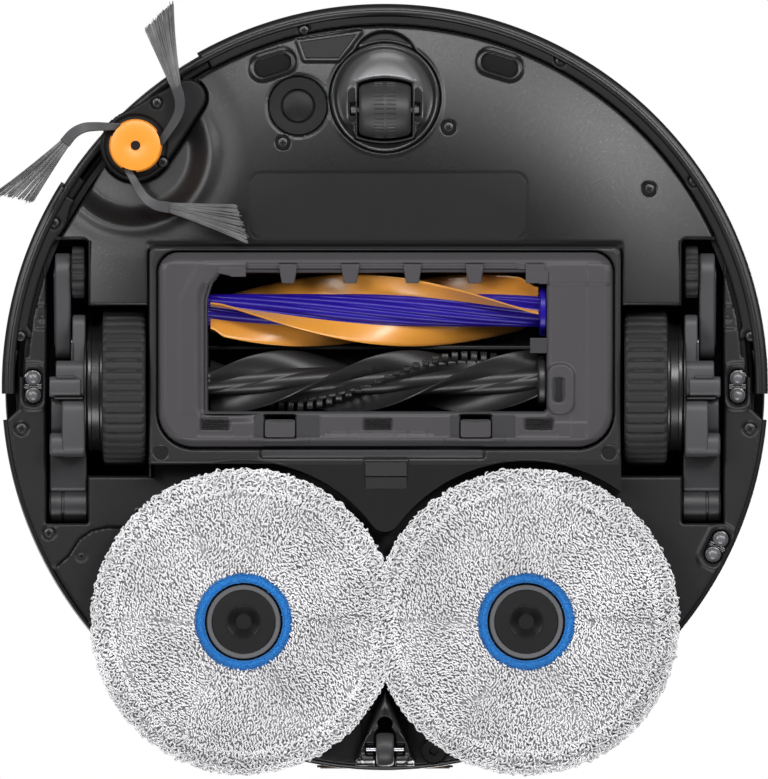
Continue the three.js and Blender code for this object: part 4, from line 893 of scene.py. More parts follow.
def brush_cover():
    def mouth(X, Y):
        d = rbox(X, Y, -73.8, 81.0, -11.6, 52.7, 2.4)
        return np.maximum(d, poly(X, Y, [(-200, -200), (200, -200), (200, 28), (81.2, 39.6), (78.9, 47.0),
            (74.6, 52.5), (74.6, 80), (-200, 80)]))

    def shape(X, Y):
        d = rbox(X, Y, -103.4, 102.9, -27.3, 61.3, 9.0, 0, 16.5)
        d = np.maximum(d, -mouth(X, Y))
        for _, x in LATCHES:
            d = np.maximum(d, -rbox(X, Y, x - 7.4, x + 7.4, -23.5, -12.4, 0.8))
        return d

    def height(X, Y):
        edge = -rbox(X, Y, -103.4, 102.9, -27.3, 61.3, 9.0, 0, 16.5)
        Z = np.full(X.shape, 4.8)
        # chamfered outer edge: wide at the top and the bottom, narrow at the sides
        Z = Z + 2.4 * ease((5.4 - (61.3 - Y)) / 5.4) * step(-Y + 40, 1)
        Z = Z + 2.6 * ease((4.6 - (Y + 27.3)) / 4.6)
        Z = Z + 1.3 * ease((3.2 - edge) / 3.2)
        # the inner panel line that runs along the top and turns down near the left end
        line = np.where(Y > 54.5, np.abs(Y - 56.4) - 0.2, 1e9)
        Z = Z + 0.45 * step(np.maximum(line, np.abs(X + 5) - 86.5), 0.3)
        Z = Z + 0.5 * step(np.maximum(np.abs(X + 91.8) - 0.25, np.abs(Y - 17) - 39), 0.25)
        Z = Z + 0.3 * step(np.maximum(-91.8 - X, X + 74.5), 0.4) * step(np.abs(Y - 20) - 36, 0.5)
        # ledge over the top of the mouth, with a thicker block at its left end
        ledge = rbox(X, Y, -72.5, 63.0, 52.0, 56.2, 0.4)
        Z = Z + 1.5 * step(ledge, 0.5)
        Z = Z - 0.5 * step(rbox(X, Y, -103, -60.4, 46.8, 56.0, 0.6), 0.6) * step(-mouth(X, Y) - 0.4, 0.5)
        # bevelled band down the right side of the mouth and along its lower edge
        inner = mouth(X, Y)
        band = ease((5.2 - inner) / 3.4) * step(-X + 60, 8)
        Z = Z + 1.9 * band * step(Y - 47, 2) * (inner > -1)
        Z = Z + 1.0 * ease((2.0 - inner) / 2.0)
        right_shape = poly(X, Y, [(87.5, -12), (86.6, 36), (80.2, 53), (63, 56), (63, 60), (84, 58.5),
            (93.5, 40), (93.5, -12)])
        Z = Z - 0.25 * step(right_shape, 1.4)
        # release grip: a raised pill with a recessed pill inside, its floor darkened by a piece of painted
        # shade
        Z = Z - 1.5 * step(rbox(X, Y, -86.2, -73.4, -12.6, 10.6, 5.8), 0.7)
        Z = Z + 1.9 * step(rbox(X, Y, -81.6, -76.6, -6.8, 4.4, 1.6), 0.5)
        # the strip under the mouth with bristle beds, latch pockets and a ribbed tick line
        strip = rbox(X, Y, -84.5, 84.0, -23.0, -12.3, 0.6)
        Z = Z + 0.45 * step(strip, 0.3)
        for x in BRISTLE_PADS:
            Z = Z + 0.9 * step(rbox(X, Y, x - 6.8, x + 6.8, -19.6, -14.2, 1.0), 0.4)
            Z = Z + 0.35 * step(rbox(X, Y, x - 8.6, x + 8.2, -22.6, -20.1, 0.3), 0.3)
        for _, x in LATCHES:
            pocket = rbox(X, Y, x - 18.2, x + 11.8, -23.0, -13.0, 0.5)
            Z = Z + 0.7 * step(pocket, 0.35)
            Z = Z - 0.5 * step(rbox(X, Y, x - 13.4, x + 14.0, -25.2, -22.9, 0.3), 0.3)
        ticks = np.abs(((X - 3.0) / 9.0) % 1 - 0.5) * 9.0
        row = rbox(X, Y, -22, 27, -21.6, -20.4, 0.2)
        Z = Z + 0.5 * step(row, 0.25) - 0.6 * step(np.maximum(row, np.abs(ticks) - 0.35), 0.25)
        return Z

    tag(relief("brush_cover_face", "brush_cover", "grey", (-104, 103.6, -28, 62), 0.5, shape, height, 0.9, 4.2,
        6), "grey_plastic", "brush_cover")
    # the mouth wall is in the darker grey, painted shade inside the mouth
    tag(ring_strip("brush_cover_wall", "brush_cover", "grey_shade_and_mark"), "grey_plastic")
    for i, x in enumerate((44.1, 15.8, -12.5, -40.8)):
        outline = [(x - 4.3, 56.0), (x + 4.3, 56.0), (x + 4.1, 54.2), (x + 3.0, 47.7), (x + 2.6, 47.2),
            (x - 2.6, 47.2), (x - 3.0, 47.7), (x - 4.1, 54.2)]
        tag(prism(f"cover_tooth_{i + 1}", "brush_cover", "grey", outline, 4.6, 6.9, edge=0.55, segments=3),
            "grey_plastic")
    tag(prism("cover_mouth_block", "brush_cover", "grey", [(-64.0, 56.0), (-74.4, 56.0), (-74.4, 46.9),
        (-70.4, 46.9), (-69.6, 47.4), (-68.6, 47.2), (-64.0, 47.2)], 4.7, 8.5, edge=0.5), "grey_plastic")
    tag(prism("cover_mouth_corner", "brush_cover", "grey", [(63.2, 56.2), (76.5, 56.2), (76.5, 52.0),
        (70.6, 50.6), (69.8, 50.2), (63.2, 50.2)], 5.0, 8.5, edge=0.5), "grey_plastic")
    # the notch and the latch pockets are in the darker grey, painted shade in the recesses
    tag(block("cover_mouth_notch", "brush_cover", "grey_shade_and_mark", -73.9, -66.0, 15.4, 22.4, 5.6, 9.0, 0.4),
        "grey_plastic")
    for side, x in LATCHES:
        for part, (x0, x1) in (("a", (x - 18.0, x - 7.5)), ("b", (x + 7.5, x + 11.6))):
            tag(block(f"cover_pocket_{side}_{part}", "brush_cover", "grey_shade_and_mark", x0, x1, -22.8, -13.2, 5.75,
                7.0, 0.15, 2), "grey_plastic")
    # the inset is a dark plate on the recess floor, painted shade in the recess
    tag(prism("cover_grip_inset", "brush_cover", "hub", arc(-79.1, 2.8, 1.5, 0, 180, 10) + arc(-79.1, -5.4, 1.5,
        180, 360, 10), 4.9, 6.4, edge=0.2), "grey_plastic")
    rng = np.random.default_rng(7)
    tufts = []
    for x in BRISTLE_PADS:
        for i in range(17):
            for j in range(5):
                px, py = x - 5.8 + 0.72 * i + rng.normal(0, 0.07), -18.8 + 1.0 * j + rng.normal(0, 0.07)
                tufts.append([(px, py, 6.4), (px + rng.normal(0, 0.12), py + rng.normal(0, 0.12),
                    4.7 + rng.uniform(-0.15, 0.15))])
    tag(ribbon("cover_bristle_beds", "brush_cover", "bristle_black", tufts, 0.3, 6, 0.85), "bristle_nylon")


def ring_strip(name, body, look):
    """The inside of the brush cover: the wall round the mouth, up to where the rollers turn."""
    outline = [(-74.6, -12.2), (81.8, -12.2), (81.8, 39.8), (79.6, 47.2), (75.4, 53.3), (-74.6, 53.3)]
    inner = [(-73.8, -11.4), (81.0, -11.4), (81.0, 39.6), (78.9, 46.8), (74.8, 52.5), (-73.8, 52.5)]
    n = len(outline)
    vertices = [(x, y, z) for z in (6.0, 9.8) for x, y in outline] + [(x, y, z) for z in (6.0, 9.8)
        for x, y in inner]
    faces = []
    for i in range(n):
        j = (i + 1) % n
        faces += [(i, j, n + j, n + i), (2 * n + i, 2 * n + j, 3 * n + j, 3 * n + i),
            (i, j, 2 * n + j, 2 * n + i), (n + i, n + j, 3 * n + j, 3 * n + i)]
    obj = piece(name, body, look, vertices, faces)
    weld(obj, 30)
    return obj


def latches():
    for name, x in LATCHES:
        outline = [(x - 6.9, -22.2), (x - 6.2, -22.9), (x + 6.2, -22.9), (x + 6.9, -22.2), (x + 6.9, -15.5),
            (x + 6.3, -14.9), (x - 6.3, -14.9), (x - 6.9, -15.5)]
        tag(prism(f"latch_face_{name}", f"latch_{name}", "grey", outline, 4.9, 8.6, edge=0.7, segments=3),
            "grey_plastic", f"cover_latch_{name}")
        # the lip is in the darker grey, painted shade in the gap above the latch
        block(f"latch_lip_{name}", f"latch_{name}", "grey_shade_and_mark", x - 6.2, x + 6.2, -15.5, -14.7, 4.5, 5.6, 0.35)
        arrow = [(x - 1.0, -14.9), (x + 1.0, -14.9), (x, -16.2)]
        prism(f"latch_pointer_{name}", f"latch_{name}", "grey_shade_and_mark", arrow, 4.75, 5.2, edge=0)


# ---- Rollers ----


def twisted(name, body, look, axis, x0, x1, section, rate, count=72, sharp=None):
    """Sections of (radius, angle) carried along X, turned at rate degrees per mm. Angles run from straight down
    towards the front."""
    y, z = axis
    stations = np.linspace(x0, x1, count)
    rows = [section(x) for x in stations]
    n = len(rows[0])
    vertices = []
    for x, row in zip(stations, rows):
        for r, angle in row:
            a = math.radians(angle + rate * x)
            vertices.append((x, y + r * math.sin(a), z - r * math.cos(a)))
    faces = []
    for k in range(count - 1):
        for i in range(n):
            j = (i + 1) % n
            faces.append((k * n + i, k * n + j, (k + 1) * n + j, (k + 1) * n + i))
    faces += [tuple(range(n))[::-1], tuple(range((count - 1) * n, count * n))]
    obj = piece(name, body, look, vertices, faces)
    weld(obj, sharp or 50)
    return obj


FIN_STEPS = 9


def blade(core, tip, lean, root=1.5, edge=0.7):
    """A flexible fin's section: thick at the root, thin at a rounded tip that leans back by some degrees."""
    def at(centre):
        def section(x):
            grow = tip(x)
            sides = [[], []]
            for k in range(FIN_STEPS):
                t = k / (FIN_STEPS - 1)
                r = core + (grow - core) * t
                half = math.degrees((root * (1 - t) + edge * t) / 2 / r)
                for points, swing in zip(sides, (half, -half)):
                    points.append((r, centre - lean * t**1.4 + swing))
            return sides[0] + [(grow + edge * 0.35, centre - lean)] + sides[1][::-1]
        return section
    return at


def shafts(end, axle):
    """The steel pins a brush roller turns on."""
    for name, profile in (("shaft", [(0, -74), (3, -74), (3, -86.6), (2.4, -87), (0, -87)]),
            ("shaft_drive", [(0, 103), (2.4, 103), (3, 102.6), (3, 89), (0, 89)])):
        lathe(f"{end}_{name}", f"{end}_roller", "steel", profile, (0, *axle), axis="X", segments=24)


def rollers():
    front, rear = (35.0, 17.8), (2.5, 16.6)
    twist_front, twist_rear = 1.15, -2.13

    def ridged(x):
        out = []
        for a in np.arange(0, 360, 2.5):
            wave = abs(math.sin(math.radians(a * 6)))
            deep = sum(0.9 * math.exp(-(((a - groove) % 360) / 6.0) ** 2) for groove in (96, 276))
            out.append((6.75 + 0.75 * wave**0.6 - deep, a))
        return out

    tag(twisted("front_core", "front_roller", "purple", front, 89.5, -70.5, ridged, twist_front, 90, 40),
        "purple_plastic", "front_roller_core")
    disc = [(0, -70.4), (11.0, -70.4), (11.5, -70.9), (11.5, -73.0), (10.9, -73.6), (6, -73.7), (5.6, -74.2),
        (0, -74.2)]
    lathe("front_end_disc", "front_roller", "purple", disc, (0, *front), axis="X", segments=64)
    shafts("front", front)

    def taper(x):
        return 16.2 - 3.6 * ease((x - 73) / 6.0) - 3.8 * ease((-61.0 - x) / 8.0)

    start = 3 + twist_front * 60.8  # the first fin's tip at x = 0
    lean = 4
    for i, offset in enumerate((0, -149, -205, 65)):
        fin = twisted(f"front_fin_{i + 1}", "front_roller", "amber", front, 79.4, -69.8,
            blade(6.6, taper, lean, 1.2, 0.7)(start + offset + lean), twist_front, 96, 60)
        if i == 0:
            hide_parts("front_roller_fins")

    def hexed(x):
        return [(6.0 + 0.5 * abs(math.sin(math.radians(a * 3))) ** 0.7, a) for a in np.arange(0, 360, 5)]

    tag(twisted("rear_core", "rear_roller", "rubber", rear, 89.5, -70.5, hexed, twist_rear, 110, 40),
        "black_rubber", "rear_roller_core")
    disc = [(0, -69.6), (10.9, -69.6), (11.7, -70.4), (11.7, -72.6), (10.4, -73.6), (6, -73.7), (5.6, -74.2),
        (0, -74.2)]
    lathe("rear_end_disc", "rear_roller", "rubber", disc, (0, *rear), axis="X", segments=64)
    shafts("rear", rear)
    start = -63 + 2.13 * 60.1
    for i in range(3):
        fin = twisted(f"rear_fin_{i + 1}", "rear_roller", "rubber", rear, 79.6, -69.4,
            blade(5.8, lambda x: 14.0, -16, 2.0, 0.8)(start + 120 * i - 16), twist_rear, 130, 60)
        if i == 0:
            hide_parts("rear_roller_fins")
    # rows of short bristle combs between two of the fins, on a low rib
    tag(twisted("rear_comb_rib", "rear_roller", "rubber", rear, 79.0, -69.4, blade(5.8, lambda x: 9.4, 0, 2.6,
        1.6)(start - 58), twist_rear, 100, 60), "black_rubber")
    combs = []
    for x in np.arange(-67, 78, 4.4):
        for shift in (-0.8, 0.0, 0.8):
            a = math.radians(start - 58 + twist_rear * x)
            c, s = math.sin(a), -math.cos(a)
            combs.append([(x + shift, rear[0] + r * c, rear[1] + r * s) for r in (7.6, 11.0, 13.8)])
    tag(ribbon("rear_combs", "rear_roller", "rubber", combs, 0.8, 6, 0.95), "black_rubber")
    # the bar between the rollers, on the bay
    outline = [(18.7, 22.6), (17.2, 22.6), (16.7, 24.6), (16.7, 36), (19.2, 36), (19.2, 24.6)]
    tag(prism("bay_divider", "body", "hub", outline, -76.5, 90.5, "YZ", 0.3), "cover_plastic")


# ---- Drive wheels ----


def mirrored(profile, k):
    """A (radius, x) profile on the right side, taken to the left side where k is -1."""
    return [(r, k * x) for r, x in profile]


def wheel_module(side):
    k = 1 if side == "right" else -1
    wheel = f"{side}_wheel"
    ribs = 44

    def tread(angles, along, r):
        if r < 33:
            return np.zeros(angles.shape)
        x = k * along
        phase = (angles * ribs / (2 * math.pi)) % 1
        groove = step((np.abs(phase - 0.5) - 0.17) * 5.0, 0.55)
        tick = np.abs((angles * ribs * 3 / (2 * math.pi)) % 1 - 0.5)
        edge = 1.0 if 110.6 < x < 127.3 else 0.25
        small = 0.22 if (int(round(x * 2)) % 3 == 0) else 0.0
        return -1.05 * groove * edge - small * step((tick - 0.28) * 4, 0.5)

    xs = [109.0, 109.6, 110.7] + list(np.linspace(111.2, 126.6, 21)) + [127.2, 128.3, 128.9]
    radii = [33.6, 35.2, 35.9] + [36.0] * 21 + [35.9, 35.2, 33.6]
    profile = [(30.3, 109.0)] + list(zip(radii, xs)) + [(30.3, 128.9), (30.3, 109.0)]
    tag(lathe(f"{side}_tyre_tread", wheel, "tyre", mirrored(profile, k), WHEEL_AXLE, axis="X",
        segments=ribs * 8, sharp=38, radial=tread), "tread_rubber", f"{side}_wheel_tyre")
    profile = [(4.3, 109.8), (9, 109.8), (9.6, 110.6), (22, 111.6), (27.6, 110.0), (30.0, 109.8), (30.0, 129.6),
        (29.2, 130.4), (28.8, 133.6), (29.2, 134.0), (29.2, 135.2), (28.4, 135.7), (4.3, 135.7), (4.3, 109.8)]
    tag(lathe(f"{side}_rim_drum", wheel, "rim", mirrored(profile, k), WHEEL_AXLE, axis="X", sharp=30),
        "rim_plastic", f"{side}_wheel_rim")
    for i in range(6):
        a = math.radians(60 * i)
        y, z = 16.5 * math.cos(a), 36 + 16.5 * math.sin(a)
        profile = mirrored([(0, 110.2), (4.2, 110.2), (4.6, 110.8), (4.6, 112.4), (0, 112.4)], k)
        tag(lathe(f"{side}_rim_dimple_{i + 1}", wheel, "trim", profile, (0, y, z), axis="X", segments=24),
            "rim_plastic")

    gearbox(side, k)


def gearbox(side, k):
    body = f"{side}_module"

    def px(x0, x1):
        return (k * x0, k * x1) if k > 0 else (k * x1, k * x0)

    def plate(name, look, outline, x0, x1, edge=0.6, segments=3):
        low, high = px(x0, x1)
        obj = prism(f"{side}_{name}", body, look, outline, low, high, "YZ", edge, segments)
        return obj

    upper = plate("gearbox_upper", "gear", rounded(-30, 33, 18, 60, 5), 136.7, 142.6, 0.9)
    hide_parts(f"{side}_gearbox")
    plate("gearbox_middle", "gear", rounded(-5, 12.0, 11.6, 58, 4), 136.9, 150.0, 0.8)
    plate("gearbox_step", "gear", rounded(-4.6, 4.8, 10.4, 57, 3), 138.5, 152.9, 0.7)
    plate("gearbox_lower", "gear", rounded(-31.8, -5.2, 9.6, 58, 6), 136.7, 147.2, 1.0)
    plate("gearbox_foot", "gear", rounded(-31.6, -20.8, 10.2, 50, 4.5), 137.2, 152.8, 1.4)
    plate("gearbox_side", "gear_dark", rounded(-22, -4.6, 14.5, 54, 4), 146.6, 152.2, 0.7)
    plate("gearbox_rib", "gear_dark", rounded(3.8, 5.2, 10.1, 30, 0.6), 141.0, 149.5, 0.25, 2)
    plate("gearbox_rib_up", "gear_dark", rounded(5.0, 20.0, 17.2, 30, 0.6), 142.2, 143.2, 0.25, 2)
    plate("gearbox_seam", "gear_dark", rounded(-5.5, -4.7, 10.2, 50, 0.3), 137.6, 150.6, 0.15, 2)
    plate("module_arm", "gear_dark", rounded(-48.2, -29.0, 27.0, 40, 3), 136.2, 153.2, 0.9)

    def turned(name, body, look, profile, where, segments, slot):
        tag(lathe(f"{side}_{name}", body, look, mirrored(profile, k), where, axis="X", segments=segments), slot)

    barrel = [(0, 136.0), (7.4, 136.0), (8.0, 136.6), (8.0, 146.4), (7.2, 146.7), (7.2, 147.7), (8.0, 148.0),
        (8.0, 152.4), (7.2, 153.4), (0, 153.4)]
    turned("module_barrel", body, "gear_dark", barrel, MODULE_PIVOT, 64, "grey_plastic")
    # the steel shaft is drawn in the black hub look, painted shade deep in the wheel well
    shaft = [(0, 112), (3.7, 112), (4, 112.4), (4, 138), (0, 138)]
    turned("module_shaft", body, "hub", shaft, MODULE_PIVOT, 32, "steel")
    axle = [(0, 109.2), (3.5, 109.2), (4, 109.8), (4, 137), (0, 137)]
    turned("module_axle", body, "hub", axle, WHEEL_AXLE, 32, "grey_plastic")
    pin = [(0, 142), (3, 142), (3, 150.2), (2.6, 150.6), (0, 150.6)]
    turned("leg_pin", body, "steel", pin, LEG_PIVOT, 32, "steel")
    # wheel backing disc: a dark ring of painted shade in the gap between the drum and the gearbox
    ring = [(0, 135.95), (26.5, 135.95), (26.9, 136.3), (26.9, 136.9), (0, 136.9)]
    turned("gearbox_disc", body, "hub", ring, WHEEL_AXLE, 72, "grey_plastic")

    leg = f"{side}_leg"
    outline = link_outline((20, 33, 7.0), (52.5, 27, 8.6))
    low, high = px(143.4, 150.6)
    tag(prism(f"{side}_leg_bar", leg, "gear", outline, low, high, "YZ", 1.2, 4), "grey_plastic",
        f"{side}_leg_arm")
    hub = [(0, 136.5), (2.2, 136.5), (2.5, 136.8), (2.5, 144), (0, 144)]
    turned("leg_hub", leg, "gear_dark", hub, LEG_AXLE, 32, "grey_plastic")
    low, high = px(150.4, 151.2)
    tag(prism(f"{side}_leg_inset", leg, "gear_dark", link_outline((22, 32.6, 3.4), (50, 27.5, 4.6)), low, high,
        "YZ", 0.2, 2), "grey_plastic")

    teeth = 14

    def cog(angles, along, r):
        if r < 10:
            return np.zeros(angles.shape)
        phase = (angles * teeth / (2 * math.pi)) % 1
        return -1.3 * step((np.abs(phase - 0.5) - 0.2) * 4, 0.5)

    profile = [(2.8, 136.9), (8.5, 136.9), (9, 137.3), (11.4, 137.2), (11.9, 137.8), (11.9, 142.2),
        (11.4, 142.8), (9, 142.7), (8.5, 143.1), (2.8, 143.1), (2.8, 136.9)]
    tag(lathe(f"{side}_leg_cog", f"{side}_leg_wheel", "tyre", mirrored(profile, k), LEG_AXLE, axis="X",
        segments=teeth * 12, sharp=40, radial=cog), "tread_rubber", f"{side}_leg_wheel")
    repaint(f"{side}_wheel_spring", "steel", 0, 60)
    # a small spring pin in the well, and the well's blank back wall
    pin = [(0, 129.6), (0.9, 129.6), (0.9, 135), (0, 135)]
    turned("well_pin", "body", "steel", pin, (0, 42.4, 24.5), 16, "steel")
    # the catch and the well's walls are in the inner black, painted shade inside the wheel well
    x0, x1 = px(127.5, 135.4)
    tag(block(f"{side}_well_catch", "body", "inner", x0, x1, 40.6, 44.2, 23.6, 27, 0.4), "cover_plastic")
    for name, (u0, u1, y0, y1, z0, z1) in (("well_shelf", (107.9, 134.7, 36.9, 45.8, 25.0, 44.0)),
            ("well_roof", (107.4, 151.0, -64.0, 63.0, 66.0, 68.0)),
            ("well_side", (154.6, 156.0, -62.0, 57.0, 25.0, 66.0)),
            ("well_inner", (106.6, 107.5, -41.0, 36.5, 12.0, 66.0)),
            ("well_back", (107.4, 135.0, -43.0, -41.4, 24.0, 66.0)),
            ("well_front", (135.0, 150.5, 67.2, 68.6, 20.0, 66.0)),
            ("leg_slot_back", (135.0, 155.0, -64.4, -62.8, 24.0, 66.0)),
            ("leg_slot_rail", (134.2, 135.1, 37.2, 67.0, 14.5, 66.0))):
        x0, x1 = px(u0, u1)
        tag(block(f"{side}_{name}", "body", "inner", x0, x1, y0, y1, z0, z1, 0.3, 2), "deck_plastic")


def link_outline(a, b):
    """Points round two circles (u, v, r) and the tangents between them."""
    (ax, ay, ra), (bx, by, rb) = a, b
    length = math.hypot(bx - ax, by - ay)
    heading = math.degrees(math.atan2(by - ay, bx - ax))
    lean = math.degrees(math.acos((ra - rb) / length))
    return arc(ax, ay, ra, heading + lean, heading - lean + 360, 20) + arc(bx, by, rb, heading - lean,
        heading + lean, 20)


# ---- Caster and rear support wheel ----



def painted_bowl_light(name, centre, stops, roughness):
    """A look whose grey, painted light and shade, depends on the distance in mm from a point in the plan."""
    found = material(name, (60, 60, 62), roughness, grain=0.3, bump=0.05, coat=0.25)
    nodes, links = found.node_tree.nodes, found.node_tree.links
    coordinate = nodes.new("ShaderNodeTexCoord")
    flat = nodes.new("ShaderNodeMapping")
    flat.inputs["Location"].default_value = (-centre[0] * MM, -centre[1] * MM, 0)
    flat.inputs["Scale"].default_value = (1, 1, 0)
    length = nodes.new("ShaderNodeVectorMath")
    length.operation = "LENGTH"
    reach = stops[-1][0]
    share = nodes.new("ShaderNodeMath")
    share.operation = "DIVIDE"
    share.inputs[1].default_value = reach * MM
    ramp = nodes.new("ShaderNodeValToRGB")
    ramp.color_ramp.interpolation = "EASE"
    while len(ramp.color_ramp.elements) < len(stops):
        ramp.color_ramp.elements.new(0.5)
    for element, (r, grey) in zip(ramp.color_ramp.elements, stops):
        element.position = r / reach
        element.color = linear((grey, grey, grey + 1)) + [1]
    links.new(coordinate.outputs["Object"], flat.inputs["Vector"])
    links.new(flat.outputs[0], length.inputs[0])
    links.new(length.outputs["Value"], share.inputs[0])
    links.new(share.outputs[0], ramp.inputs["Fac"])
    links.new(ramp.outputs["Color"], nodes["Principled BSDF"].inputs["Base Color"])
    return found


# the caster's dish: a painted highlight, bright by the wheel, fading to painted shade at the rim
DISH_PAINTED_LIGHT = painted_bowl_light("dish_painted_light_and_shade", (0, CASTER_Y + 2.5), [(0, 150), (11, 142), (15, 98), (18, 56), (21.5, 22),
    (30, 12)], 0.36)


def caster():
    def slot(X, Y):
        bow = (np.hypot(X / 1.65, Y - CASTER_AXLE[0]) - 14.4) * 0.9
        return np.maximum(np.abs(X) - 12.6, bow)

    def shape(X, Y):
        return np.maximum(circle(X, Y, 0, CASTER_Y, 24.5), -slot(X, Y))

    def height(X, Y):
        d = np.hypot(X, Y - CASTER_Y)
        Z = 9.0 + 0.25 * step(np.abs(d - 23.3) - 0.2, 0.3)
        Z = Z + 2.2 * ease((23.4 - d) / 1.6) + 6.2 * ease((22.6 - d) / 15) ** 0.75
        Z = Z + 1.6 * ease((CASTER_Y - 9 - Y) / 8) * step(d - 21.4, 1.0)
        S = slot(X, Y)
        wall = step(S - 1.1, 0.4)
        Z = Z * (1 - wall) + (11.2 + 0.02 * (Y - CASTER_Y) ** 2 * 0.2) * wall
        ear = rbox(np.abs(X), Y, 11.0, 16.8, 120.0, 137.4, 3.4)
        k = step(ear, 0.5) * (1 - wall)
        Z = Z * (1 - k) + 12.1 * k
        pocket = rbox(np.abs(X), Y, 11.0, 15.9, 123.6, 129.9, 0.5)
        k = step(pocket, 0.35)
        Z = Z * (1 - k) + 15.6 * k
        return Z

    # the dish face carries the bowl's painted highlight and painted shade
    tag(relief("caster_dish_face", "caster", DISH_PAINTED_LIGHT, (-25.4, 25.4, 106.6, 157.2), 0.3, shape, height, 0.3, 3.6,
        7), "rim_plastic", "caster_dish")

    def ears(X, Y):
        A = np.abs(X)
        return np.maximum(rbox(A, Y, 12.9, 16.7, 120.2, 137.2, 3.3), -rbox(A, Y, 11.0, 15.9, 123.6, 129.9, 0.5))

    relief("caster_ears", "caster", "panel", (-18, 18, 118, 139), 0.3, ears, lambda X, Y: np.full(X.shape,
        11.7), 0.3, 0.7)
    # a dark band round the wheel's slot, a painted shade line at its edge
    relief("caster_slot_shade", "caster", "gear_dark", (-16, 16, 106, 146), 0.3,
        lambda X, Y: np.maximum(slot(X, Y) - 0.7, -slot(X, Y)), flat(10.9), 0.3, 3.0)
    # the pocket behind the wheel is in the inner black, painted shade
    pocket = [(24.9, 11.0), (24.9, 25.4), (23.6, 26.9), (0, 26.9), (0, 26.2), (23.2, 26.2), (24.2, 25.2),
        (24.2, 11.0), (24.9, 11.0)]
    tag(lathe("caster_pocket", "caster", "inner", pocket, (0, CASTER_Y, 0), segments=64), "rim_plastic")

    def ticks(angles, along, r):
        if r < 11 or not 0.8 < abs(along) < 4.9:
            return np.zeros(angles.shape)
        phase = (angles * 38 / (2 * math.pi)) % 1
        return -0.42 * step((np.abs(phase - 0.5) - 0.11) * 2.1, 0.2)

    xs = [-11.8, -11.5, -10.8, -9.5, -8, -6.5, -5.1, -4.95, -4.8, -3.6, -2.4, -1.2, -0.9, -0.7, 0]
    xs = xs + [-x for x in xs[-2::-1]]
    radii = [13.05 - 2.0 * (abs(x) / 11.8) ** 2.2 - 1.1 * max(0, (abs(x) - 10.6) / 1.2) ** 2 for x in xs]
    profile = [(2.0, -11.8)] + list(zip(radii, xs)) + [(2.0, 11.8), (2.0, -11.8)]
    tag(lathe("caster_barrel", "caster_wheel", "caster", profile, (0, *CASTER_AXLE), axis="X", segments=38 * 9,
        sharp=40, radial=ticks), "tread_rubber", "caster_wheel")
    pin = [(0, -15.5), (1.3, -15.5), (1.6, -15.2), (1.6, -12.4), (1.2, -12.3), (1.2, 12.3), (1.6, 12.4),
        (1.6, 15.2), (1.3, 15.5), (0, 15.5)]
    tag(lathe("caster_pin", "caster", "hub_ring", pin, (0, *CASTER_AXLE), axis="X", segments=24), "steel",
        "caster_axle")


def rear_wheel():
    y, z = -165.0, 8.1

    def shape(X, Y):
        d = poly(X, Y, [(0, -137.4), (12.9, -170.6), (13.1, -172.2), (-13.1, -172.2), (-12.9, -170.6)], 0.3)
        slot = rbox(X, Y, -4.8, 4.8, -176, -155.6, 3.6)
        hole = np.minimum(circle(X, Y, 0, -153.4, 3.4), rbox(X, Y, -3.0, 3.0, -158, -153.4, 0.5))
        return np.maximum(np.maximum(d, -slot), -hole)

    def height(X, Y):
        w = np.clip((-137 - Y) * 0.39, 0.8, 13)
        Z = 6.6 + 2.6 * (np.abs(X) / w) ** 2 + 4.5 * ease((Y + 147) / 12)
        shoulder = np.hypot(X / 1.05, Y + 166) - 10.8
        k = step(shoulder, 0.6) * (Y < -150)
        Z = Z * (1 - k) + (8.2 + 1.2 * ease((-166 - Y) / 3)) * k
        Z = Z - 1.2 * np.exp(-((Y + 169.0) / 1.0) ** 2)
        Z = Z + 7 * ease((-169.8 - Y) / 2.4)
        notch = rbox(np.abs(X), Y, 4.0, 8.8, -167.6, -162.2, 0.4)
        k = step(notch, 0.3)
        return Z * (1 - k) + 13.0 * k

    tag(relief("rear_bracket_face", "body", "cover", (-14, 14, -173.4, -136), 0.3, shape, height, 0.6, 14, 12),
        "cover_plastic", "rear_wheel_bracket")
    # the pocket in the bracket is in the inner black, painted shade
    tag(block("rear_bracket_pocket", "body", "inner", -10.4, 10.4, -173.2, -148.2, 20.6, 22.2, 0.3),
        "cover_plastic")
    xs = [-4.05, -3.9, -3.4, -2.6, -1.4, 0, 1.4, 2.6, 3.4, 3.9, 4.05]
    radii = [6.1, 6.6, 7.1, 7.4, 7.55, 7.6, 7.55, 7.4, 7.1, 6.6, 6.1]
    profile = [(0.8, xs[0])] + list(zip(radii, xs)) + [(0.8, xs[-1]), (0.8, xs[0])]
    tag(lathe("rear_roller_wheel", "rear_wheel", "caster", profile, (0, y, z), axis="X", segments=72, sharp=50),
        "tread_rubber", "rear_wheel")
    pin = [(0, -8.7), (0.8, -8.7), (0.95, -8.5), (0.95, 8.5), (0.8, 8.7), (0, 8.7)]
    tag(lathe("rear_wheel_pin", "rear_wheel", "steel", pin, (0, y, z), axis="X", segments=20), "steel")
    profile = [(1.9, 24), (1.9, 21.6), (2.2, 21.3), (5.3, 21.3), (5.5, 21.6), (5.6, 22.1), (5.9, 22.1),
        (6.0, 21.5), (6.4, 21.5), (6.6, 22.0), (6.6, 24.0), (1.9, 24)]
    tag(lathe("rear_round_boss", "body", "deck", profile, (-22.3, -166.0, 0), segments=64, sharp=30),
        "deck_plastic")
    # the boss's floor is in the inner black, painted shade in its hole
    lathe("rear_round_boss_floor", "body", "inner", [(0, 23), (2.0, 23), (2.0, 24)], (-22.3, -166.0, 0),
        segments=24)


# ---- Mops ----

CREASES = [0.0, 60.0, 120.0, 180.0, 240.0, 300.0]


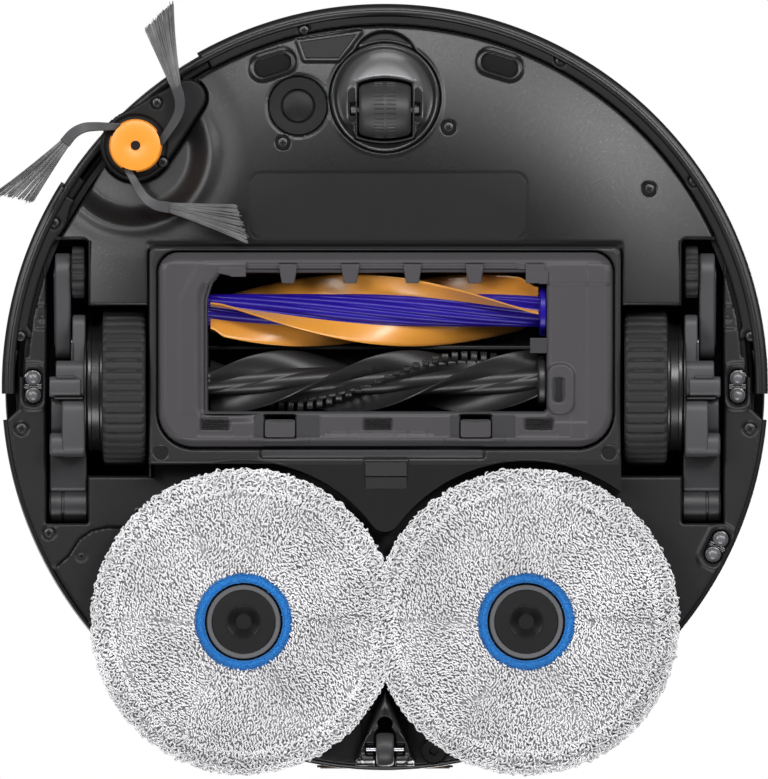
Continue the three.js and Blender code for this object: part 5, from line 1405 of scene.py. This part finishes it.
def pile(name, body, look, points, normals, heading, length, rise, radius, centre, rng):
    """Yarn loops rooted at points: each rises along its normal, runs on along its heading and bends back."""
    count = len(points)
    t = np.linspace(0.02, 0.98, 5)
    along = heading - normals * (heading * normals).sum(1, keepdims=True)
    along /= np.linalg.norm(along, axis=1, keepdims=True) + 1e-9
    across = np.cross(normals, along)
    curl = rng.normal(0, 0.12, (count, 1))
    path = (points[:, None, :] + along[:, None, :] * (length[:, None] * (t - 0.35))[:, :, None]
        + normals[:, None, :] * (rise[:, None] * np.sin(math.pi * t) ** 0.75)[:, :, None] + across[:, None,
        :] * (length[:, None] * curl * np.sin(2 * math.pi * t))[:, :, None])
    tangent = np.gradient(path, axis=1)
    tangent /= np.linalg.norm(tangent, axis=2, keepdims=True) + 1e-9
    side = np.cross(tangent, normals[:, None, :] + across[:, None, :] * 0.3)
    side /= np.linalg.norm(side, axis=2, keepdims=True) + 1e-9
    other = np.cross(side, tangent)
    swell = (0.82 + 0.3 * np.sin(math.pi * t))[None, :, None] * radius[:, None, None]
    rings = []
    for m in range(3):
        a = 2 * math.pi * m / 3
        rings.append(path + swell * (math.cos(a) * side + math.sin(a) * other))
    vertices = np.stack(rings, axis=2).reshape(-1, 3) + np.array([*centre, 0])
    k, m = np.meshgrid(np.arange(4), np.arange(3), indexing="ij")
    k, m = k.ravel(), m.ravel()
    n = (m + 1) % 3
    cell = np.stack([k * 3 + m, k * 3 + n, (k + 1) * 3 + n, (k + 1) * 3 + m], 1)
    quads = (cell[None] + (np.arange(count) * 15)[:, None, None]).reshape(-1, 4)
    ends = np.stack([np.arange(count) * 15 + 2, np.arange(count) * 15 + 1, np.arange(count) * 15], 1)
    tips = ends[:, ::-1] + 12
    return piece(name, body, look, vertices, quads.tolist() + ends.tolist() + tips.tolist())


def pad_profile(r):
    """Height of the cloth under the pile, and how far its face turns outwards, at a radius."""
    z = 2.1 + 0.5 * ease((25 - r) / 3) + 3.8 * ease((r - 59) / 9.5) ** 1.3
    turn = np.clip((r - 58.5) / 10.0, 0, 1) ** 1.2 * 1.15
    return z, turn


def around(r, a, z=0.0):
    """Points at radius r, angle a and height z."""
    return np.stack([r * np.cos(a), r * np.sin(a), z + np.zeros_like(a)], 1)


def crease_gap(r, a):
    """The way round the pad, in mm, to the nearest crease."""
    return np.min([np.abs(np.angle(np.exp(1j * (a - math.radians(c))))) for c in CREASES], axis=0) * r


def facing(outward, turn):
    """Straight down, turned outwards by an angle."""
    return outward * np.sin(turn)[:, None] + np.array([0, 0, -1.0]) * np.cos(turn)[:, None]


def mop(side, seed):
    k = 1 if side == "right" else -1
    centre = (k * MOP_X, MOP_Y)
    body = f"{side}_mop"
    rng = np.random.default_rng(seed)

    # the cloth: a crowned pad with faint creases where its gores are sewn, in a grey that is painted shade
    # between the loops
    radii = [19.0, 20.5, 22, 24, 27, 31, 36, 41, 46, 51, 55, 58, 60.5, 63.2, 65.4, 66.8]
    segments = 144
    rows, angles = [], np.linspace(0, 2 * math.pi, segments, endpoint=False)
    for r in radii:
        z = pad_profile(np.array(r))[0] + 0.12 * np.sin(7 * angles + r) * np.cos(3 * angles - r / 5)
        z = z + 1.2 * np.exp(-((crease_gap(r, angles) / 2.0) ** 2)) * ease((r - 24) / 6)
        rows.append(around(r, angles, z))
    for r, z in ((66.4, 7.0), (64.6, 7.8), (40, 7.85), (19.0, 7.8)):
        rows.append(around(r, angles, z))
    vertices = np.concatenate(rows) + np.array([*centre, 0])
    faces = []
    for row in range(len(rows)):
        low, high = row * segments, (row + 1) % len(rows) * segments
        faces += [(low + i, high + i, high + (i + 1) % segments, low + (i + 1) % segments)
            for i in range(segments)]
    cloth = piece(f"{side}_pad_cloth", body, "pile_base_painted_shade", vertices, faces)
    weld(cloth, 60)
    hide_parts(f"{side}_mop_pad")

    def scatter(r0, r1, spacing):
        points, r, row = [], r0, 0
        while r < r1:
            n = max(6, int(2 * math.pi * r / spacing))
            a = np.linspace(0, 2 * math.pi, n, endpoint=False) + row * 0.61 + rng.normal(0, 0.22 * spacing / r,
                n)
            points.append(np.stack([np.full(n, r) + rng.normal(0, 0.2 * spacing, n), a], 1))
            r += spacing * 0.86
            row += 1
        return np.concatenate(points)

    polar = scatter(22.6, 60.5, 1.28)
    r, a = polar[:, 0], polar[:, 1]
    z, turn = pad_profile(r)
    gore = np.floor((np.degrees(a) % 360) / 60)
    crease = np.exp(-((crease_gap(r, a) / 1.9) ** 2)) * ease((r - 24) / 6)
    z = z + 1.1 * crease + 0.4 * np.sin(a * 5 + r / 6) * np.cos(r / 9 - a * 2)
    normals = facing(around(1, a), turn)
    lean = math.radians(63) + 0.5 * np.sin(gore * 2.1) + 0.3 * np.sin(r / 7 + a * 3) + rng.normal(0, 0.32,
        len(r))
    heading = around(1, lean)
    points = around(r, a, z)
    flip = rng.random(len(r)) < 0.22
    heading[flip] *= -1
    wander = a + 0.045 * np.sin(r / 4.1 + k) + 0.03 * np.sin(r / 1.9)
    # loops left out along the creases and round the seam, so the grey base shows as lines of painted shade
    crease_shade_gaps = np.zeros(len(r), bool)
    for angle, low, high, chance in ((0, 24, 52, 0.42), (60, 30, 47, 0.5), (180, 27, 58, 0.38),
            (240, 24, 50, 0.55), (128, 40, 56, 0.3), (305, 34, 52, 0.35)):
        gap = np.abs(np.angle(np.exp(1j * (wander - math.radians(angle))))) * r
        crease_shade_gaps |= rng.random(len(r)) < chance * np.exp(-((gap / 0.9) ** 2)) * ((r > low) & (r < high))
    seam_shade_gaps = rng.random(len(r)) < 0.3 * np.exp(-(((r - 58.0 - 0.9 * np.sin(3 * a)) / 0.8) ** 2))
    keep = ~(crease_shade_gaps | seam_shade_gaps)
    r, crease, points, normals, heading = (each[keep] for each in (r, crease, points, normals, heading))
    tag(pile(f"{side}_pad_pile", body, "pile", points, normals, heading, rng.uniform(1.4, 2.2, len(r)),
        rng.uniform(0.7, 1.5, len(r)) * (1 - 0.6 * crease), rng.uniform(0.31, 0.42, len(r)), centre, rng),
        "microfibre")

    # the longer pile round the edge, brushed outwards
    polar = np.concatenate([scatter(59.0, 68.8, 1.3), scatter(66.6, 68.8, 1.5)])
    r, a = np.clip(polar[:, 0], 58, 68.9), polar[:, 1]
    z, turn = pad_profile(r)
    z = z + rng.uniform(-0.3, 1.4, len(r)) * ease((r - 60) / 4)
    z = np.clip(z, 0.9, 6.9)
    outward = around(1, a)
    normals = facing(outward, turn)
    swirl = rng.normal(0, 0.75, len(r))
    heading = outward * np.cos(swirl)[:, None] + np.stack([-np.sin(a), np.cos(a), np.zeros_like(a)],
        1) * np.sin(swirl)[:, None]
    heading = heading + np.array([0, 0, -0.25])
    points = around(r, a, z)
    far = ease((r - 60) / 8)
    tag(pile(f"{side}_pad_fringe", body, "pile", points, normals, heading, rng.uniform(1.6, 2.6, len(r))
        + far * rng.uniform(0.2, 3.2, len(r)), rng.uniform(0.8, 1.9, len(r)), rng.uniform(0.36, 0.5, len(r)),
        centre, rng), "microfibre")

    # the felt ring round the hub, with its own short nap
    felt_profile = [(17.7, 6.5), (17.75, 2.5), (18.2, 1.7), (19.6, 1.45), (21.2, 1.7), (21.9, 2.6), (21.9, 6.5),
        (17.7, 6.5)]
    tag(lathe(f"{side}_felt_ring", body, "felt", felt_profile, (*centre, 0), segments=120, sharp=60),
        "microfibre")
    polar = scatter(18.2, 22.0, 0.72)
    r, a = polar[:, 0], polar[:, 1]
    n = len(r)
    normals = np.tile(np.array([0, 0, -1.0]), (n, 1))
    lean = rng.uniform(0, 2 * math.pi, n)
    heading = np.stack([np.cos(lean), np.sin(lean), np.zeros(n)], 1)
    points = np.stack([r * np.cos(a), r * np.sin(a), np.full(n, 1.75)], 1)
    tag(pile(f"{side}_felt_nap", body, "felt", points, normals, heading, rng.uniform(0.5, 1.1, n),
        rng.uniform(0.25, 0.55, n), rng.uniform(0.13, 0.19, n), centre, rng), "microfibre")

    ring_profile = [(14.55, 7.5), (14.55, 2.6), (14.8, 2.25), (16.4, 2.15), (16.75, 2.5), (16.8, 8.1),
        (14.55, 8.1), (14.55, 7.5)]
    tag(lathe(f"{side}_hub_ring", body, "hub_ring", ring_profile, (*centre, 0), segments=120, sharp=30),
        "hub_plastic")
    # the dimple's cone is a darker black than the cap, painted shade in the dimple
    tag(lathe(f"{side}_hub_cone", body, "rim", [(3.6, 6.15), (7.0, 2.42), (7.4, 2.12), (8.0, 2.1), (8.0, 2.5),
        (7.3, 2.8), (3.7, 6.4), (3.6, 6.15)], (*centre, 0), segments=96, sharp=30), "hub_plastic")
    cap_profile = [(0, 6.4), (3.5, 6.4), (3.7, 6.2), (7.1, 2.5), (7.5, 2.2), (14.1, 2.3), (14.45, 2.6),
        (14.45, 8.1), (14.45, 8.2), (56.0, 8.2), (56.4, 8.6), (56.4, 10.2), (56.0, 10.6), (30, 11.2),
        (12, 11.2), (5, 11.3), (5, 26), (0, 26)]
    tag(lathe(f"{side}_hub_cap", body, "hub", cap_profile, (*centre, 0), segments=120, sharp=30), "hub_plastic",
        f"{side}_mop_holder")
    repaint(f"{side}_mop_gearbox", "steel", 0.4)


# ---- Top and inside ----


def top_side():
    # in this table the chassis frame takes the inner black, painted shade inside the body
    for node, look, edge in (("top_cover", "wall", 0.5), ("top_lid", "wall", 0.35),
            ("lidar_housing", "wall", 0.5), ("lidar_head", "hub", 0.4), ("dust_box", "smoke", 0.8),
            ("power_button", "hub", 0.35), ("home_button", "hub", 0.35), ("chassis_frame", "inner", 0.3),
            ("battery", "smoke", 0.8), ("main_board", "board", 0.2), ("suction_fan", "hub", 0.6),
            ("water_tank", "smoke", 0.8), ("roller_motor", "steel", 0.5), ("charge_contact_right", "brass",
            0.3), ("charge_contact_left", "brass", 0.3)):
        repaint(node, look, edge)
    for node, x in (("power_button", -14.0), ("home_button", 14.0)):
        ring = [(8.5, 89.0), (8.6, 89.4), (9.3, 89.45), (9.5, 89.2), (9.5, 88.8), (8.5, 88.8), (8.5, 89.0)]
        tag(lathe(f"{node}_ring", "body", "hub_ring", ring, (x, BUTTON_Y, 0), segments=72, sharp=40),
            "wall_plastic")
        face = [(0, 89.75), (5.5, 89.7), (7.1, 89.6), (7.4, 89.45), (0, 89.45)]
        tag(lathe(f"{node}_face", node, "hub", face, (x, BUTTON_Y, 0), segments=72, sharp=40), "hub_plastic")
    ring = [(38.9, 88.8), (39.0, 89.5), (40.6, 89.55), (41.0, 89.2), (41.0, 88.8), (38.9, 88.8)]
    tag(lathe("turret_ring", "body", "hub_ring", ring, TURRET, segments=144, sharp=40), "wall_plastic")
    cap = [(0, 91.9), (20, 91.88), (30, 91.75), (34.2, 91.4), (34.8, 91.0), (0, 91.0)]
    tag(lathe("turret_cap_disc", "turret", "glass", cap, TURRET, segments=144, sharp=40), "smoke_plastic")
    # the vent slots are dark strips on the wall, painted shade in the openings
    for i in range(9):
        a0 = 232 + 2.6 * i
        tag(ring_sweep(f"side_vent_{i + 1}", "body", "inner", [(174.9, 58.0), (175.2, 57.6), (175.2, 48.4),
            (174.9, 48.0)], a0, a0 + 1.4, sharp=40, per=0.5), "wall_plastic")
    rim = [(170.4, 89.0), (171.1, 89.12), (171.9, 88.95), (173.3, 88.0), (174.5, 86.9), (174.9, 86.0),
        (174.95, 83.4), (174.5, 83.2), (173.6, 85.6), (170.4, 88.4), (170.4, 89.0)]
    tag(lathe("top_rim", "body", "wall", rim, (0, 0, 0), segments=480, sharp=50), "wall_plastic")
    tag(ring_sweep("top_band", "body", "strip", [(174.4, 82.4), (175.0, 82.0), (175.0, 80.6), (174.4, 80.2)], 0,
        359.6, sharp=40, per=0.8), "wall_plastic")


bumper()
rear_deck()
cliff_lenses()
trim()
brush_cover()
latches()
rollers()
wheel_module("right")
wheel_module("left")
caster()
rear_wheel()
mop("right", 11)
mop("left", 12)
top_side()

bpy.context.scene.view_settings.view_transform = "Standard"
